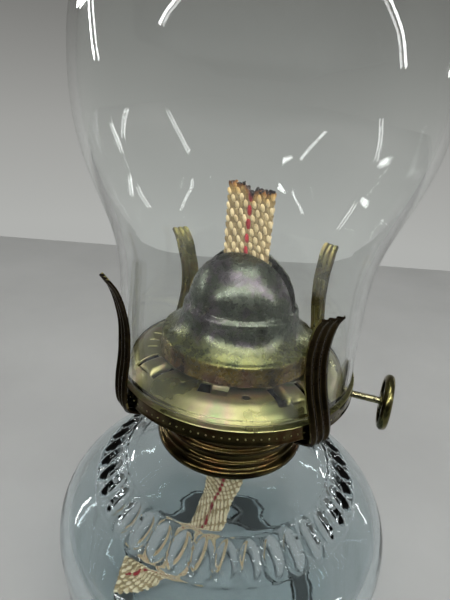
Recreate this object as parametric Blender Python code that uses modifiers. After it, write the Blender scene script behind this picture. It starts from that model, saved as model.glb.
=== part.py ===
"""Flat-wick kerosene lamp: pressed-glass fount, plated burner, wick raiser and glass chimney.

Metres, +Z up. The origin is on the lamp's axis where the foot stands on the table, and +X points
along the winder shaft to the knob. The front of the lamp is -Y.
"""
import math

import bmesh
import bpy
from mathutils import Matrix, Vector

# Driving dimensions.
seam = 0.0003            # gap between touching pieces
weld = 0.00001           # points nearer than this are one point
overrun = 0.002          # how far a cutter runs past what it cuts
sheet = 0.00055          # thickness of the burner's sheet metal
round_steps = 32         # facets round a large turned piece
small_steps = 24         # facets round a small turned piece

# Fount.
fount_height = 0.088     # foot to the top of the neck's lip
belly_radius = 0.0535
glass_wall = 0.0034
glass_floor = 0.006
foot_radius = 0.0380
foot_rest = 0.0070       # width of the ring that stands on the table
foot_hollow = 0.0016     # depth of the hollow inside that ring
neck_radius = 0.0186
thread_rise = 0.0009     # ring threads round the neck
neck_height = 0.0106     # lip to the root of the neck
# Heights and radii down the bowl, as shares of the fount's height and of its belly.
bowl_height_shares = (0.852, 0.820, 0.773, 0.705, 0.636, 0.585, 0.534, 0.477, 0.386, 0.273,
                      0.182, 0.102, 0.048)
bowl_radius_shares = (0.486, 0.632, 0.735, 0.833, 0.936, 0.985, 1.0, 0.998, 0.987, 0.972,
                      0.940, 0.871, 0.766)
thumbprints = 38
thumbprint_width = 0.0050
thumbprint_depth = 0.0009
thumbprint_top_share = 0.785      # of the fount's height
thumbprint_bottom_share = 0.690

# Screw cap and gasket.
gasket_height = 0.0012
gasket_width = 0.0050
cap_height = 0.0120
cap_clearance = 0.0006   # between the neck's threads and the cap's rolled grooves
ring_count = 2           # rolled thread rings
ring_pitch = 0.0038
ring_depth = 0.0011
ring_first_share = 0.75  # of the pitch, from the cap's top to its first groove
thread_offset_share = 0.25   # of the pitch, from a groove to the next thread
hem_flare = 0.0021
hem_height = 0.0028
hem_curl_share = 0.333   # of the hem's height, where its roll starts and ends

# Bowl, gallery plate and its skirt.
rim_radius = 0.0340      # top edge of the gallery
rim_above_cap = 0.0136   # from the cap's top to the gallery's rim
skirt_drop = 0.0034
skirt_flare = 0.0004
beads = 96               # round the skirt
bead_rise = 0.0005
bead_width_share = 0.85  # of the spacing between beads
bead_height = 0.0022
bead_drop = 0.0015       # from the rim to the middle of a bead
flange_width = 0.0030    # ledge that the chimney stands on
flange_rise = 0.0008
plate_rise = 0.0042      # flat of the plate above the rim
shoulder_width = 0.0050  # convex part between the flat and the flange
shoulder_knee_share = 0.25   # of its width, where it turns steep
plate_opening_share = 0.5    # of the rim's radius, the air opening under the dome
bowl_floor_radius = 0.0190
air_holes = 16
air_hole_radius = 0.0012

# Lanced windows, holes and slits of the plate.
window_angles = (-130.0, -85.0, -40.0, 50.0, 95.0, 140.0)
window_up_signs = (1, -1, 1, 1, -1, 1)
window_inner_share = 0.632    # of the rim's radius
window_length_share = 0.2
window_width = 0.0106
strip_width = 0.0070
strip_lift = 0.0017
strip_sink_share = 0.125 # of the sheet, how far a bridge sits below the plate's face
strip_fall_share = 0.45  # of the shoulder's slope, that a bridge's outer end follows
hole_angles = (-107.5, -62.5, 72.5, 117.5)
hole_radius = 0.0011
slit_angles = (-163.0, 17.0)
slit_spread = 9.5        # degrees between the three slits of a group
slit_length = 0.0030
slit_width = 0.0006

# Dome.
dome_rim_share = 0.6588  # of the rim's radius, at the bottom of the dome's skirt
dome_height = 0.0289
dome_sheet = 0.0005
dome_gap = 0.0010        # air gap under its skirt, bridged by the feet
dome_foot_width = 0.0030
dome_feet = 4
# The bell's outline from the top down, as shares of the dome's radius and height.
dome_radius_shares = (0.201, 0.330, 0.438, 0.518, 0.580, 0.632, 0.667, 0.674, 0.716, 0.759,
                      0.795, 0.875, 0.950, 0.980)
dome_height_shares = (0.986, 0.941, 0.882, 0.813, 0.742, 0.630, 0.512, 0.477, 0.420, 0.332,
                      0.270, 0.200, 0.165, 0.138)
slot_foot_share = 0.49   # height of the slot's ends up the dome
slot_width = 0.0056
slot_reach_share = 0.638 # of the dome's radius, from the axis to the slot's end

# Wick and wick tube.
wick_width = 0.0127
wick_thickness = 0.0022
wick_above_dome = 0.0173
wick_fit = 0.0004        # between the wick and the tube's inside
tube_sheet = 0.0005
tube_below_slot = 0.0024 # from the tube's top to the dome's crown
tube_below_cap = 0.0150
wick_below_tube = 0.0020

# Winder.
spur_radius = 0.0042     # over the teeth
spur_root = 0.0032
spur_teeth = 12
spur_thickness = 0.0006
spur_spacing = 0.0070    # between the two wheels
spur_mesh_gap = 0.00015  # between the teeth and the wick
shaft_radius = 0.0010
shaft_below_rim = 0.0061
shaft_fit = 0.0003
shaft_inner_end = 0.0070 # past the middle of the lamp
bushing_radius = 0.0018
bushing_length = 0.0050
bushing_flange_radius = 0.0024
bushing_flange = 0.0007
box_wall = 0.0005
box_play = 0.0008        # round the wheels
knob_radius = 0.0080
knob_depth = 0.0050
knob_curl = 0.0012       # radius of the rolled edge
knob_sheet = 0.0008
knob_from_rim = 0.0058   # gallery's rim to the inner edge of the knob
knob_hub_radius = 0.0020
knob_hub_length = 0.0030
knob_dish = 0.0013
knob_flat_share = 0.45   # of its radius, the flat of the dish
knob_rise_share = 0.72   # where the dish has risen
knob_level_share = 0.25  # of the dish's depth, left there

# Vent tube.
vent_radius = 0.0014
vent_wall = 0.0004
vent_reach = 0.0100      # from the lamp's axis, towards -Y
vent_above_cap = 0.0030
vent_below_cap = 0.0060

# Prongs and their rivets.
prong_angles = (53.0, 143.0, 233.0, 323.0)
prong_names = ("prong_back_right", "prong_back_left", "prong_front_left", "prong_front_right")
prong_width = 0.0064
prong_sheet = 0.0005
prong_rib = 0.0006       # how far the ribs stand out
prong_ribs = 3
prong_rings = 14
prong_height = 0.0310    # tip above the gallery's rim
prong_touch_share = 0.55 # height where a prong comes nearest the chimney
prong_tip_out = 0.0036
prong_base_out = 0.0020
prong_foot = 0.0050      # length of the foot that lies along the bowl
prong_start_share = 0.29     # along the bowl's side, where the foot starts
prong_knee_share = 0.08      # along the bowl's side, beside the knee
prong_knee_out_shares = (0.65, 0.28)     # of prong_base_out, from there to the knee
prong_bend_share = 0.25      # of prong_base_out, drawn in above the knee
prong_upper_bow_share = 0.19 # of prong_tip_out
prong_lower_bow_share = 0.16 # of prong_base_out
rivet_radius = 0.0009
rivet_head_radius = 0.0016
rivet_head = 0.0006
rivet_crown_share = 0.6  # of the head's radius, its flat top

# Chimney.
chimney_height = 0.2160
chimney_gap = 0.00065    # from the gallery's rim in to the foot that stands in it
chimney_wall = 0.0020
chimney_swell = 0.00975  # belly beyond the foot
chimney_top_radius = 0.0220
chimney_bead = 0.0006    # how far the beads at both ends stand out
chimney_bead_height = 0.0018
chimney_bead_fade = 0.0036
# Outline from the top down: shares of the height, and of the way from a lower to a higher radius.
upper_height_shares = (0.94, 0.80, 0.70, 0.60, 0.50, 0.41)
upper_radius_shares = (0.003, 0.07, 0.19, 0.38, 0.67, 0.93)
lower_height_shares = (0.345, 0.290, 0.250, 0.214, 0.186, 0.160, 0.130)
lower_radius_shares = (1.0, 0.935, 0.751, 0.483, 0.264, 0.10, 0.015)

# Wick tail in the fount.
tail_side = 0.0260       # how far to the left the tail lies
tail_front = 0.0110      # and how far towards the front

# Heights worked out from the sizes above.
neck_root_z = fount_height - neck_height
gasket_z = fount_height + seam
cap_under_z = gasket_z + gasket_height + seam
cap_top_z = cap_under_z + sheet
cap_hem_z = cap_top_z - cap_height
rim_z = cap_top_z + rim_above_cap
bowl_floor_z = cap_top_z + seam
plate_z = rim_z + plate_rise
flange_radius = rim_radius - flange_width
plate_opening = rim_radius * plate_opening_share
window_inner = rim_radius * window_inner_share
window_length = rim_radius * window_length_share
dome_radius = rim_radius * dome_rim_share
chimney_radius = rim_radius - chimney_gap
chimney_belly_radius = chimney_radius + chimney_swell
dome_z = plate_z + dome_gap
dome_top_z = dome_z + dome_height
tube_top_z = dome_top_z - tube_below_slot
tube_bottom_z = cap_under_z - tube_below_cap
wick_top_z = dome_top_z + wick_above_dome
wick_bottom_z = tube_bottom_z - wick_below_tube
shaft_z = rim_z - shaft_below_rim
shaft_y = wick_thickness / 2 + spur_mesh_gap + spur_radius
tube_length = wick_width + 2 * wick_fit + 2 * tube_sheet
tube_depth = wick_thickness + 2 * wick_fit + 2 * tube_sheet
knob_x = rim_radius + skirt_flare + knob_from_rim
cap_groove = neck_radius + thread_rise + cap_clearance + sheet
ring_first_z = cap_top_z - ring_pitch * ring_first_share
bowl_opening = vent_reach + vent_radius + vent_wall
chimney_z = rim_z + flange_rise + seam

for old in list(bpy.data.objects):
    bpy.data.objects.remove(old, do_unlink=True)

lamp = bpy.data.collections.new("kerosene_lamp")
cutters = bpy.data.collections.new("cutters")
bpy.context.scene.collection.children.link(lamp)
bpy.context.scene.collection.children.link(cutters)


# Materials

def material(name, colour, roughness, metallic=0.0, transmission=0.0):
    made = bpy.data.materials.new(name)
    made.use_nodes = True
    shader = made.node_tree.nodes["Principled BSDF"]
    shader.inputs["Base Color"].default_value = (*colour, 1.0)
    shader.inputs["Roughness"].default_value = roughness
    shader.inputs["Metallic"].default_value = metallic
    shader.inputs["Transmission Weight"].default_value = transmission
    made.diffuse_color = (*colour, 1.0)
    return made


fount_glass = material("fount glass", (0.80, 0.90, 0.93), 0.03, transmission=1.0)
chimney_glass = material("chimney glass", (0.95, 0.97, 0.96), 0.02, transmission=1.0)
chromate = material("yellow chromate plate", (0.62, 0.58, 0.24), 0.25, metallic=1.0)
dark_chromate = material("dark chromate plate", (0.24, 0.20, 0.12), 0.35, metallic=1.0)
dome_plate = material("heat-tinted plate", (0.38, 0.38, 0.32), 0.30, metallic=1.0)
steel = material("plated steel", (0.55, 0.50, 0.30), 0.30, metallic=1.0)
cotton = material("woven cotton", (0.66, 0.58, 0.42), 0.90)
rubber = material("black rubber", (0.05, 0.05, 0.05), 0.80)


# Shapes

def place(mesh, name, mat, group=lamp, smooth=40.0):
    """An object that shows the mesh, in its collection and with its material."""
    made = bpy.data.objects.new(name, mesh)
    group.objects.link(made)
    if mat:
        mesh.materials.append(mat)
    if group is cutters:
        made.hide_render = True
        made.display_type = "WIRE"
    else:
        mesh.shade_smooth()
        mesh.set_sharp_from_angle(angle=math.radians(smooth))
    return made


def rounded(points, radius_list, steps=3):
    """The outline with an arc at each corner that has a radius."""
    path = []
    for i, point in enumerate(points):
        here = Vector(point)
        radius = radius_list.get(i, 0)
        if not radius:
            path.append(here)
            continue
        back = Vector(points[i - 1]) - here
        ahead = Vector(points[(i + 1) % len(points)]) - here
        half = back.angle(ahead) / 2
        reach = min(radius / math.tan(half), back.length / 2, ahead.length / 2)
        start, end = here + back.normalized() * reach, here + ahead.normalized() * reach
        for k in range(steps + 1):
            t = k / steps
            path.append(start * (1 - t) ** 2 + here * 2 * t * (1 - t) + end * t ** 2)
    return path


def offset(path, distance):
    """The open outline moved to its right by the distance, mitred at its corners."""
    moved = []
    for i, point in enumerate(path):
        before = (point - path[i - 1]).normalized() if i else None
        after = (path[i + 1] - point).normalized() if i + 1 < len(path) else None
        sides = [Vector((d.y, -d.x)) for d in (before, after) if d]
        mean = sum(sides, Vector((0, 0))).normalized()
        moved.append(point + mean * (distance / mean.dot(sides[0])))
    return moved


def turned(name, path, mat, steps=round_steps, closed=True, group=lamp):
    """A profile in radius and height, turned round Z by a Screw modifier."""
    mesh = bpy.data.meshes.new(name)
    spots = [(p[0], 0, p[1]) for p in path]
    count = len(spots)
    edges = [(i, (i + 1) % count) for i in range(count if closed else count - 1)]
    mesh.from_pydata(spots, edges, [])
    made = place(mesh, name, mat, group)
    screw = made.modifiers.new("turn", "SCREW")
    screw.steps = screw.render_steps = steps
    screw.use_merge_vertices = True
    screw.merge_threshold = weld
    screw.use_smooth_shade = True
    return made


def turned_sheet(name, path, thickness, mat, steps=small_steps):
    """A turned shell: the path is its outer face, and the sheet lies to the path's right."""
    return turned(name, list(path) + offset(list(path), thickness)[::-1], mat, steps)


def solid(name, build, mat=None, group=cutters):
    """An object whose mesh a function fills through bmesh."""
    mesh = bpy.data.meshes.new(name)
    bm = bmesh.new()
    build(bm)
    bm.to_mesh(mesh)
    bm.free()
    return place(mesh, name, mat, group)


def box(bm, low, high):
    """A box between two corners."""
    low, high = Vector(low), Vector(high)
    size = Matrix.Diagonal((*(high - low), 1.0))
    bmesh.ops.create_cube(bm, size=1, matrix=Matrix.Translation((low + high) / 2) @ size)


def rod(bm, start, end, radius, sides=16):
    """A cylinder between two points."""
    start, end = Vector(start), Vector(end)
    run = end - start
    turn = Vector((0, 0, 1)).rotation_difference(run).to_matrix().to_4x4()
    bmesh.ops.create_cone(bm, cap_ends=True, segments=sides, radius1=radius, radius2=radius,
                          depth=run.length, matrix=Matrix.Translation((start + end) / 2) @ turn)


def about_axis(angle):
    return Matrix.Rotation(math.radians(angle), 4, "Z")


def boolean(target, tool, operation="DIFFERENCE"):
    change = target.modifiers.new(operation.lower(), "BOOLEAN")
    change.object = tool
    change.operation = operation
    return change


def flat(name, outline, depth, mat, group=lamp):
    """A flat outline as a filled 2D curve, extruded both ways to the depth, as a mesh."""
    curve = bpy.data.curves.new(name, "CURVE")
    curve.dimensions = "2D"
    curve.fill_mode = "BOTH"
    curve.extrude = depth / 2
    for line in outline:
        spline = curve.splines.new("POLY")
        spline.points.add(len(line) - 1)
        spline.use_cyclic_u = True
        for spot, (x, y) in zip(spline.points, line):
            spot.co = (x, y, 0, 1)
    return as_mesh(curve, name, mat, group)


def as_mesh(curve, name, mat, group=lamp):
    """The curve as a closed mesh object."""
    holder = bpy.data.objects.new(name + " curve", curve)
    bpy.context.scene.collection.objects.link(holder)
    bpy.context.view_layer.update()
    evaluated = holder.evaluated_get(bpy.context.evaluated_depsgraph_get())
    mesh = bpy.data.meshes.new_from_object(evaluated)
    bpy.data.objects.remove(holder, do_unlink=True)
    mesh.name = name
    bm = bmesh.new()
    bm.from_mesh(mesh)
    bmesh.ops.remove_doubles(bm, verts=bm.verts, dist=weld)
    bmesh.ops.recalc_face_normals(bm, faces=bm.faces)
    bm.to_mesh(mesh)
    bm.free()
    mesh.materials.clear()
    return place(mesh, name, mat, group)


def stand_up(made, angle=0.0):
    """Turns a shape drawn in radius and height so that it stands in the plane at this azimuth."""
    made.data.transform(about_axis(angle) @ Matrix.Rotation(math.radians(90), 4, "X"))
    return made


# Fount

def fount_outline():
    """The glass's outer face from the lip down to the edge of the foot."""
    lip = [(neck_radius, fount_height)]
    for k in range(ring_count):
        middle = ring_first_z - ring_pitch * (k + thread_offset_share)
        lip += [(neck_radius, middle + thread_rise), (neck_radius + thread_rise, middle),
                (neck_radius, middle - thread_rise)]
    lip.append((neck_radius, neck_root_z))
    bowl = [(belly_radius * r, fount_height * h)
            for r, h in zip(bowl_radius_shares, bowl_height_shares)]
    foot = [(foot_radius, glass_floor / 2), (foot_radius, 0)]
    return rounded(lip + bowl + foot, {})


def fount_inside():
    """The hollow from the floor's middle up to the lip, a wall's thickness inside the outside."""
    bowl = [Vector((neck_radius, fount_height)), Vector((neck_radius, neck_root_z))]
    bowl += [Vector((belly_radius * r, fount_height * h))
             for r, h in zip(bowl_radius_shares, bowl_height_shares)]
    inner = [p for p in offset(bowl, glass_wall) if p.y > glass_floor + glass_wall / 2]
    inner[0].y = fount_height
    inner = inner[:3] + inner[3::2]
    corner = Vector((inner[-1].x - glass_wall, glass_floor))
    return [Vector((0, glass_floor)), corner] + inner[::-1]


def bowl_radius_at(height):
    """The bowl's outer radius at a height."""
    spots = sorted((fount_height * h, belly_radius * r)
                   for r, h in zip(bowl_radius_shares, bowl_height_shares))
    for (z0, r0), (z1, r1) in zip(spots, spots[1:]):
        if z0 <= height <= z1:
            return r0 + (r1 - r0) * (height - z0) / (z1 - z0)
    return spots[-1][1]


under = [(foot_radius - foot_rest, 0), (foot_radius - foot_rest - foot_hollow, foot_hollow),
         (0, foot_hollow)]
fount = turned("fount_glass", fount_inside() + fount_outline() + [Vector(p) for p in under],
               fount_glass, thumbprints, closed=False)

thumb_top = fount_height * thumbprint_top_share
thumb_low = fount_height * thumbprint_bottom_share
top_spot = Vector((bowl_radius_at(thumb_top), 0, thumb_top))
low_spot = Vector((bowl_radius_at(thumb_low), 0, thumb_low))


def thumbprint_row(bm):
    """Flattened balls sunk into the shoulder, one for each thumbprint."""
    run = top_spot - low_spot
    tilt = Vector((0, 0, 1)).rotation_difference(run).to_matrix().to_4x4()
    shape = Matrix.Diagonal((thumbprint_depth, thumbprint_width / 2, run.length / 2, 1))
    middle = Matrix.Translation((top_spot + low_spot) / 2)
    for k in range(thumbprints):
        turn = about_axis(360 * (k + 0.5) / thumbprints)
        bmesh.ops.create_uvsphere(bm, u_segments=4, v_segments=4, radius=1,
                                  matrix=turn @ middle @ tilt @ shape)


boolean(fount, solid("thumbprint cutter", thumbprint_row))

# Gasket and screw cap

gasket_outer = neck_radius
turned("neck_gasket", rounded([(gasket_outer, gasket_z + gasket_height), (gasket_outer, gasket_z),
                               (gasket_outer - gasket_width, gasket_z),
                               (gasket_outer - gasket_width, gasket_z + gasket_height)], {}),
       rubber, small_steps)


def cap_outline():
    """The cap's outer face from the deck's edge down over the rolled rings to the hem."""
    wall = cap_groove
    points = [(wall - ring_depth, cap_top_z), (wall, cap_top_z - ring_depth)]
    for k in range(ring_count * 4 + 1):
        wave = (1 - math.cos(2 * math.pi * (k + 1) / 4)) / 2
        points.append((wall + ring_depth * wave, ring_first_z - ring_pitch * k / 4))
    hem_top = cap_hem_z + hem_height
    points.append((wall + hem_flare / 2, hem_top - hem_height * hem_curl_share))
    points.append((wall + hem_flare, cap_hem_z + hem_height * hem_curl_share))
    points.append((wall + hem_flare, cap_hem_z))
    hem_knee = hem_top - hem_height * hem_curl_share
    return [Vector(p) for p in points if p[1] > hem_top or p[1] <= hem_knee]


cap_face = cap_outline()
cap_inner = [p for p in offset(cap_face, sheet)]
cap_inner[0] = Vector((cap_face[0].x - sheet / 2, cap_under_z))
cap_inner[-1].y = cap_hem_z
cap = turned("screw_cap", [Vector((0, cap_top_z))] + cap_face + cap_inner[::-1]
             + [Vector((0, cap_under_z))], chromate, small_steps, closed=False)


def tube_way(bm, low, high):
    """Room for the wick tube between two heights."""
    x, y = tube_length / 2 + seam, tube_depth / 2 + seam
    box(bm, (-x, -y, low), (x, y, high))


def cap_ways(bm):
    tube_way(bm, cap_under_z - overrun, cap_top_z + overrun)
    rod(bm, (0, -vent_reach, cap_under_z - overrun), (0, -vent_reach, cap_top_z + overrun),
        vent_radius + seam)


boolean(cap, solid("cap cutter", cap_ways))

# Burner bowl

bowl_top_radius = rim_radius - sheet - seam
bowl_top_z = rim_z - sheet - seam
bowl_waist_z = rim_z - skirt_drop - sheet
bowl_deep = bowl_waist_z - bowl_floor_z


def bowl_face():
    """The bowl's outer face from its top edge down to the floor's opening."""
    corners = [(bowl_top_radius, bowl_top_z), (bowl_top_radius, bowl_waist_z),
               (bowl_floor_radius, bowl_floor_z), (bowl_opening, bowl_floor_z)]
    return rounded(corners, {1: bowl_deep / 2, 2: bowl_deep / 2}, 2)


bowl = turned_sheet("burner_bowl", bowl_face(), sheet, dark_chromate, round_steps)
slope_start = Vector((bowl_top_radius, bowl_waist_z))
slope_end = Vector((bowl_floor_radius, bowl_floor_z))
slope = (slope_end - slope_start).normalized()
slope_out = Vector((-slope.y, slope.x)) * (1 if slope.x * slope.y > 0 else -1)
slope_out = Vector((abs(slope_out.x), -abs(slope_out.y)))


def on_slope(share, out=0.0):
    """A point along the bowl's sloping side, moved out from the metal."""
    return slope_start.lerp(slope_end, share) + slope_out * out


def spoke(angle, point):
    """The point of a radius and height at an azimuth."""
    turn = math.radians(angle)
    return Vector((point.x * math.cos(turn), point.x * math.sin(turn), point.y))


rivet_share = 0.42
hole_share = 0.68


def bowl_ways(bm):
    rod(bm, (rim_radius / 2, shaft_y, shaft_z), (rim_radius + overrun, shaft_y, shaft_z),
        bushing_radius + seam, 12)
    for angle in prong_angles:
        rod(bm, spoke(angle, on_slope(rivet_share, -overrun)),
            spoke(angle, on_slope(rivet_share, overrun)), rivet_radius + seam, 10)
    for k in range(air_holes):
        angle = 360 * (k + 0.25) / air_holes
        rod(bm, spoke(angle, on_slope(hole_share, -overrun)),
            spoke(angle, on_slope(hole_share, overrun)), air_hole_radius, 6)


boolean(bowl, solid("bowl cutter", bowl_ways))

# Gallery plate

shoulder_top = flange_radius - shoulder_width


def plate_face():
    """The plate's upper face from its opening out over the shoulder, ledge and skirt."""
    corners = [(plate_opening, plate_z), (shoulder_top, plate_z),
               (flange_radius - shoulder_width * shoulder_knee_share, rim_z + (plate_rise + flange_rise) / 2),
               (flange_radius, rim_z + flange_rise), (rim_radius, rim_z),
               (rim_radius + skirt_flare, rim_z - skirt_drop)]
    return rounded(corners, {1: shoulder_width / 2, 2: shoulder_width / 2, 4: sheet}, 1)


plate = turned_sheet("gallery_plate", plate_face(), sheet, chromate, round_steps)
plate_low_z = plate_z - plate_rise


def plate_windows(bm):
    for angle in window_angles:
        made = bmesh.ops.create_cube(bm, size=1, matrix=about_axis(angle)
                                     @ Matrix.Translation((window_inner + window_length / 2, 0,
                                                           (plate_z + plate_low_z) / 2))
                                     @ Matrix.Diagonal((window_length, window_width,
                                                        plate_rise + 2 * overrun, 1)))
        uprights = [e for e in {e for v in made["verts"] for e in v.link_edges}
                    if abs(e.verts[0].co.z - e.verts[1].co.z) > plate_rise]
        bmesh.ops.bevel(bm, geom=uprights, offset=slit_width, segments=1, affect="EDGES")
    for angle in hole_angles:
        spot = about_axis(angle) @ Vector((window_inner + window_length / 2, 0, plate_z))
        rod(bm, spot - Vector((0, 0, overrun)), spot + Vector((0, 0, overrun)), hole_radius, 8)
    for angle in slit_angles:
        for k in (-1, 0, 1):
            turn = about_axis(angle + slit_spread * k)
            middle = Matrix.Translation((window_inner + window_length / 2, 0, plate_z))
            size = Matrix.Diagonal((slit_length, slit_width, 2 * overrun, 1))
            bmesh.ops.create_cube(bm, size=1, matrix=turn @ middle @ size)


def strip_outline(lift):
    """The side view of a window's bridge, bowed up or down from the plate."""
    grip = sheet
    x0, x1 = window_inner - grip, window_inner + window_length + grip
    inset = sheet * strip_sink_share
    fall = max(0, x1 - shoulder_top) * plate_rise / shoulder_width * strip_fall_share
    top = []
    for k in range(7):
        t = k / 6
        bow = math.sin(math.pi * t) ** 2 * lift
        drop = fall * max(0, (t - 0.5) * 2) ** 2
        top.append(Vector((x0 + (x1 - x0) * t, plate_z - inset + bow - drop)))
    under = offset(top, sheet - 2 * inset)
    return [(p.x, p.y) for p in top + under[::-1]]


boolean(plate, solid("plate cutter", plate_windows))
for index, (angle, up) in enumerate(zip(window_angles, window_up_signs)):
    strip = flat(f"window strip {index}", [strip_outline(strip_lift * up)], strip_width, None,
                 cutters)
    stand_up(strip, angle)
    boolean(plate, strip, "UNION")



def skirt_beads(bm):
    """A row of beads that stand out from the skirt, each a flattened eight-sided ball."""
    for k in range(beads):
        spot = Matrix.Translation((rim_radius + skirt_flare * bead_drop / skirt_drop, 0,
                                   rim_z - bead_drop))
        shape = Matrix.Diagonal((bead_rise, math.pi * rim_radius / beads * bead_width_share, bead_height / 2, 1))
        bmesh.ops.create_uvsphere(bm, u_segments=4, v_segments=2, radius=1,
                                  matrix=about_axis(360 * (k + 0.5) / beads) @ spot @ shape)


boolean(plate, solid("bead row", skirt_beads), "UNION")

# Dome


def dome_face():
    """The bell's outer face from the crown down to the skirt's edge."""
    bell = [Vector((dome_radius * r, dome_z + dome_height * h))
            for r, h in zip(dome_radius_shares, dome_height_shares)]
    return [Vector((0, dome_top_z))] + bell + [Vector((dome_radius, dome_z))]


dome_outer = dome_face()
dome_inner = offset(dome_outer, dome_sheet)
dome_inner[0] = Vector((0, dome_top_z - dome_sheet))
dome_inner[-1].y = dome_z
dome = turned("dome", dome_outer + dome_inner[::-1], dome_plate, small_steps, closed=False)


def dome_feet_blocks(bm):
    low, high = plate_z + seam, dome_z + dome_gap
    for k in range(dome_feet):
        size = Matrix.Diagonal((dome_sheet, dome_foot_width, high - low, 1))
        middle = Matrix.Translation((dome_radius - dome_sheet, 0, (low + high) / 2))
        bmesh.ops.create_cube(bm, size=1, matrix=about_axis(360 * (k + 0.5) / dome_feet) @ middle @ size)


def flame_slot(bm):
    """The long slot over the crown, with round ends down the bell's sides."""
    low = dome_z + dome_height * slot_foot_share
    reach = dome_radius * slot_reach_share
    box(bm, (-reach, -slot_width / 2, low), (reach, slot_width / 2, dome_top_z + overrun))


boolean(dome, solid("dome feet", dome_feet_blocks), "UNION")
boolean(dome, solid("slot cutter", flame_slot))

# Wick tube and ratchet box


def rounded_slab(length, depth):
    """A flat tube's outline with half-round ends."""
    points = []
    straight = length / 2 - depth / 2
    for side in (1, -1):
        for k in range(5):
            turn = math.pi * (k / 4 - 0.5)
            points.append((side * (straight + depth / 2 * math.cos(turn)),
                           side * depth / 2 * math.sin(turn)))
    return points


tube_height = tube_top_z - tube_bottom_z
tube = flat("wick_tube", [rounded_slab(tube_length, tube_depth),
                          rounded_slab(tube_length - 2 * tube_sheet, tube_depth - 2 * tube_sheet)],
            tube_height, steel)
tube.location.z = tube_bottom_z + tube_height / 2


def spur_windows(bm):
    """Openings in the tube's back wall through which the wheels reach the wick."""
    reach = math.sqrt(spur_radius ** 2 - (spur_radius - tube_sheet - wick_fit - seam) ** 2)
    for side in (1, -1):
        x = side * spur_spacing / 2
        box(bm, (x - spur_thickness / 2 - shaft_fit, wick_thickness / 2,
                 shaft_z - reach - box_play),
            (x + spur_thickness / 2 + shaft_fit, tube_depth / 2 + overrun,
             shaft_z + reach + box_play))


boolean(tube, solid("spur window cutter", spur_windows))

box_reach = spur_radius + box_play
box_half = spur_spacing / 2 + spur_thickness / 2 + box_play
box_front = tube_depth / 2 + seam
box_back = shaft_y + box_reach + box_wall
box_low = shaft_z - box_reach - box_wall
box_high = shaft_z + box_reach + box_wall


box_side = box_half + box_wall
ratchet = flat("ratchet_box", [[(-box_side, box_front), (-box_side, box_back),
                                (box_side, box_back), (box_side, box_front), (box_half, box_front),
                                (box_half, box_back - box_wall), (-box_half, box_back - box_wall),
                                (-box_half, box_front)]], box_high - box_low, steel)
ratchet.location.z = (box_low + box_high) / 2


def shaft_way(bm):
    rod(bm, (-box_side - overrun, shaft_y, shaft_z), (box_side + overrun, shaft_y, shaft_z),
        shaft_radius + shaft_fit)


boolean(ratchet, solid("shaft way", shaft_way))

# Winder

winder = bpy.data.objects.new("winder", None)
lamp.objects.link(winder)
winder.location = (0, shaft_y, shaft_z)

along_x = Matrix.Rotation(math.radians(90), 4, "Y")
shaft_end = knob_x + knob_depth - knob_dish - knob_sheet - seam
shaft = solid("winder_shaft", lambda bm: rod(bm, (-shaft_inner_end, 0, 0), (shaft_end, 0, 0),
                                             shaft_radius), steel, lamp)


def spur_outline():
    """A toothed wheel with pointed teeth round a bore for the shaft."""
    teeth = []
    for k in range(spur_teeth * 2):
        reach = spur_radius if k % 2 == 0 else spur_root
        turn = math.pi * k / spur_teeth
        teeth.append((reach * math.cos(turn), reach * math.sin(turn)))
    bore = [((shaft_radius + seam / 2) * math.cos(math.pi * k / 8),
             (shaft_radius + seam / 2) * math.sin(math.pi * k / 8)) for k in range(16)]
    return [teeth, bore]


spurs = []
for name, side in (("spur_outer", 1), ("spur_inner", -1)):
    spur = flat(name, spur_outline(), spur_thickness, steel)
    spur.data.transform(Matrix.Translation((side * spur_spacing / 2, 0, 0)) @ along_x)
    spurs.append(spur)


def knob_profile():
    """Dished disc with its edge rolled back towards the burner, drawn with the shaft as axis."""
    hub = [(shaft_radius + seam / 2, knob_depth - knob_hub_length),
           (shaft_radius + seam / 2, knob_depth - knob_sheet - knob_dish)]
    outer = [(0, knob_depth - knob_dish), (knob_radius * knob_flat_share, knob_depth - knob_dish),
             (knob_radius * knob_rise_share, knob_depth - knob_dish * knob_level_share),
             (knob_radius - knob_curl, knob_depth)]
    for k in range(1, 5):
        turn = math.radians(90 - 45 * k)
        outer.append((knob_radius - knob_curl + knob_curl * math.cos(turn),
                      knob_depth - knob_curl + knob_curl * math.sin(turn)))
    outer += [(knob_radius - knob_sheet / 2 - knob_sheet, knob_depth - 2 * knob_curl - knob_sheet / 2)]
    skin = [Vector(p) for p in outer]
    inner = [p for p in offset(skin[1:], knob_sheet)][::-1]
    inner[-1] = Vector((knob_hub_radius, knob_depth - knob_dish - knob_sheet))
    hub_side = [Vector((knob_hub_radius, knob_depth - knob_hub_length))]
    return skin + inner + hub_side + [Vector(p) for p in hub] + [Vector((0, hub[1][1]))]


knob = turned("winder_knob", knob_profile(), chromate, small_steps, closed=False)
knob.rotation_euler.y = math.radians(90)
knob.location.x = knob_x
for piece in (shaft, *spurs, knob):
    piece.parent = winder

bushing_face = [(bushing_flange_radius, bushing_flange), (bushing_flange_radius, 0),
                (bushing_radius, 0), (bushing_radius, -bushing_length),
                (shaft_radius + shaft_fit, -bushing_length),
                (shaft_radius + shaft_fit, bushing_flange)]
bushing = turned("shaft_bushing", bushing_face, steel, 16)
bushing.rotation_euler.y = math.radians(90)
bushing.location = (bowl_top_radius + seam, shaft_y, shaft_z)

# Vent tube

vent = turned("vent_tube", [(vent_radius, cap_top_z + vent_above_cap),
                            (vent_radius, cap_under_z - vent_below_cap),
                            (vent_radius - vent_wall, cap_under_z - vent_below_cap),
                            (vent_radius - vent_wall, cap_top_z + vent_above_cap)], steel, 16)
vent.location.y = -vent_reach

# Wick

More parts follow.
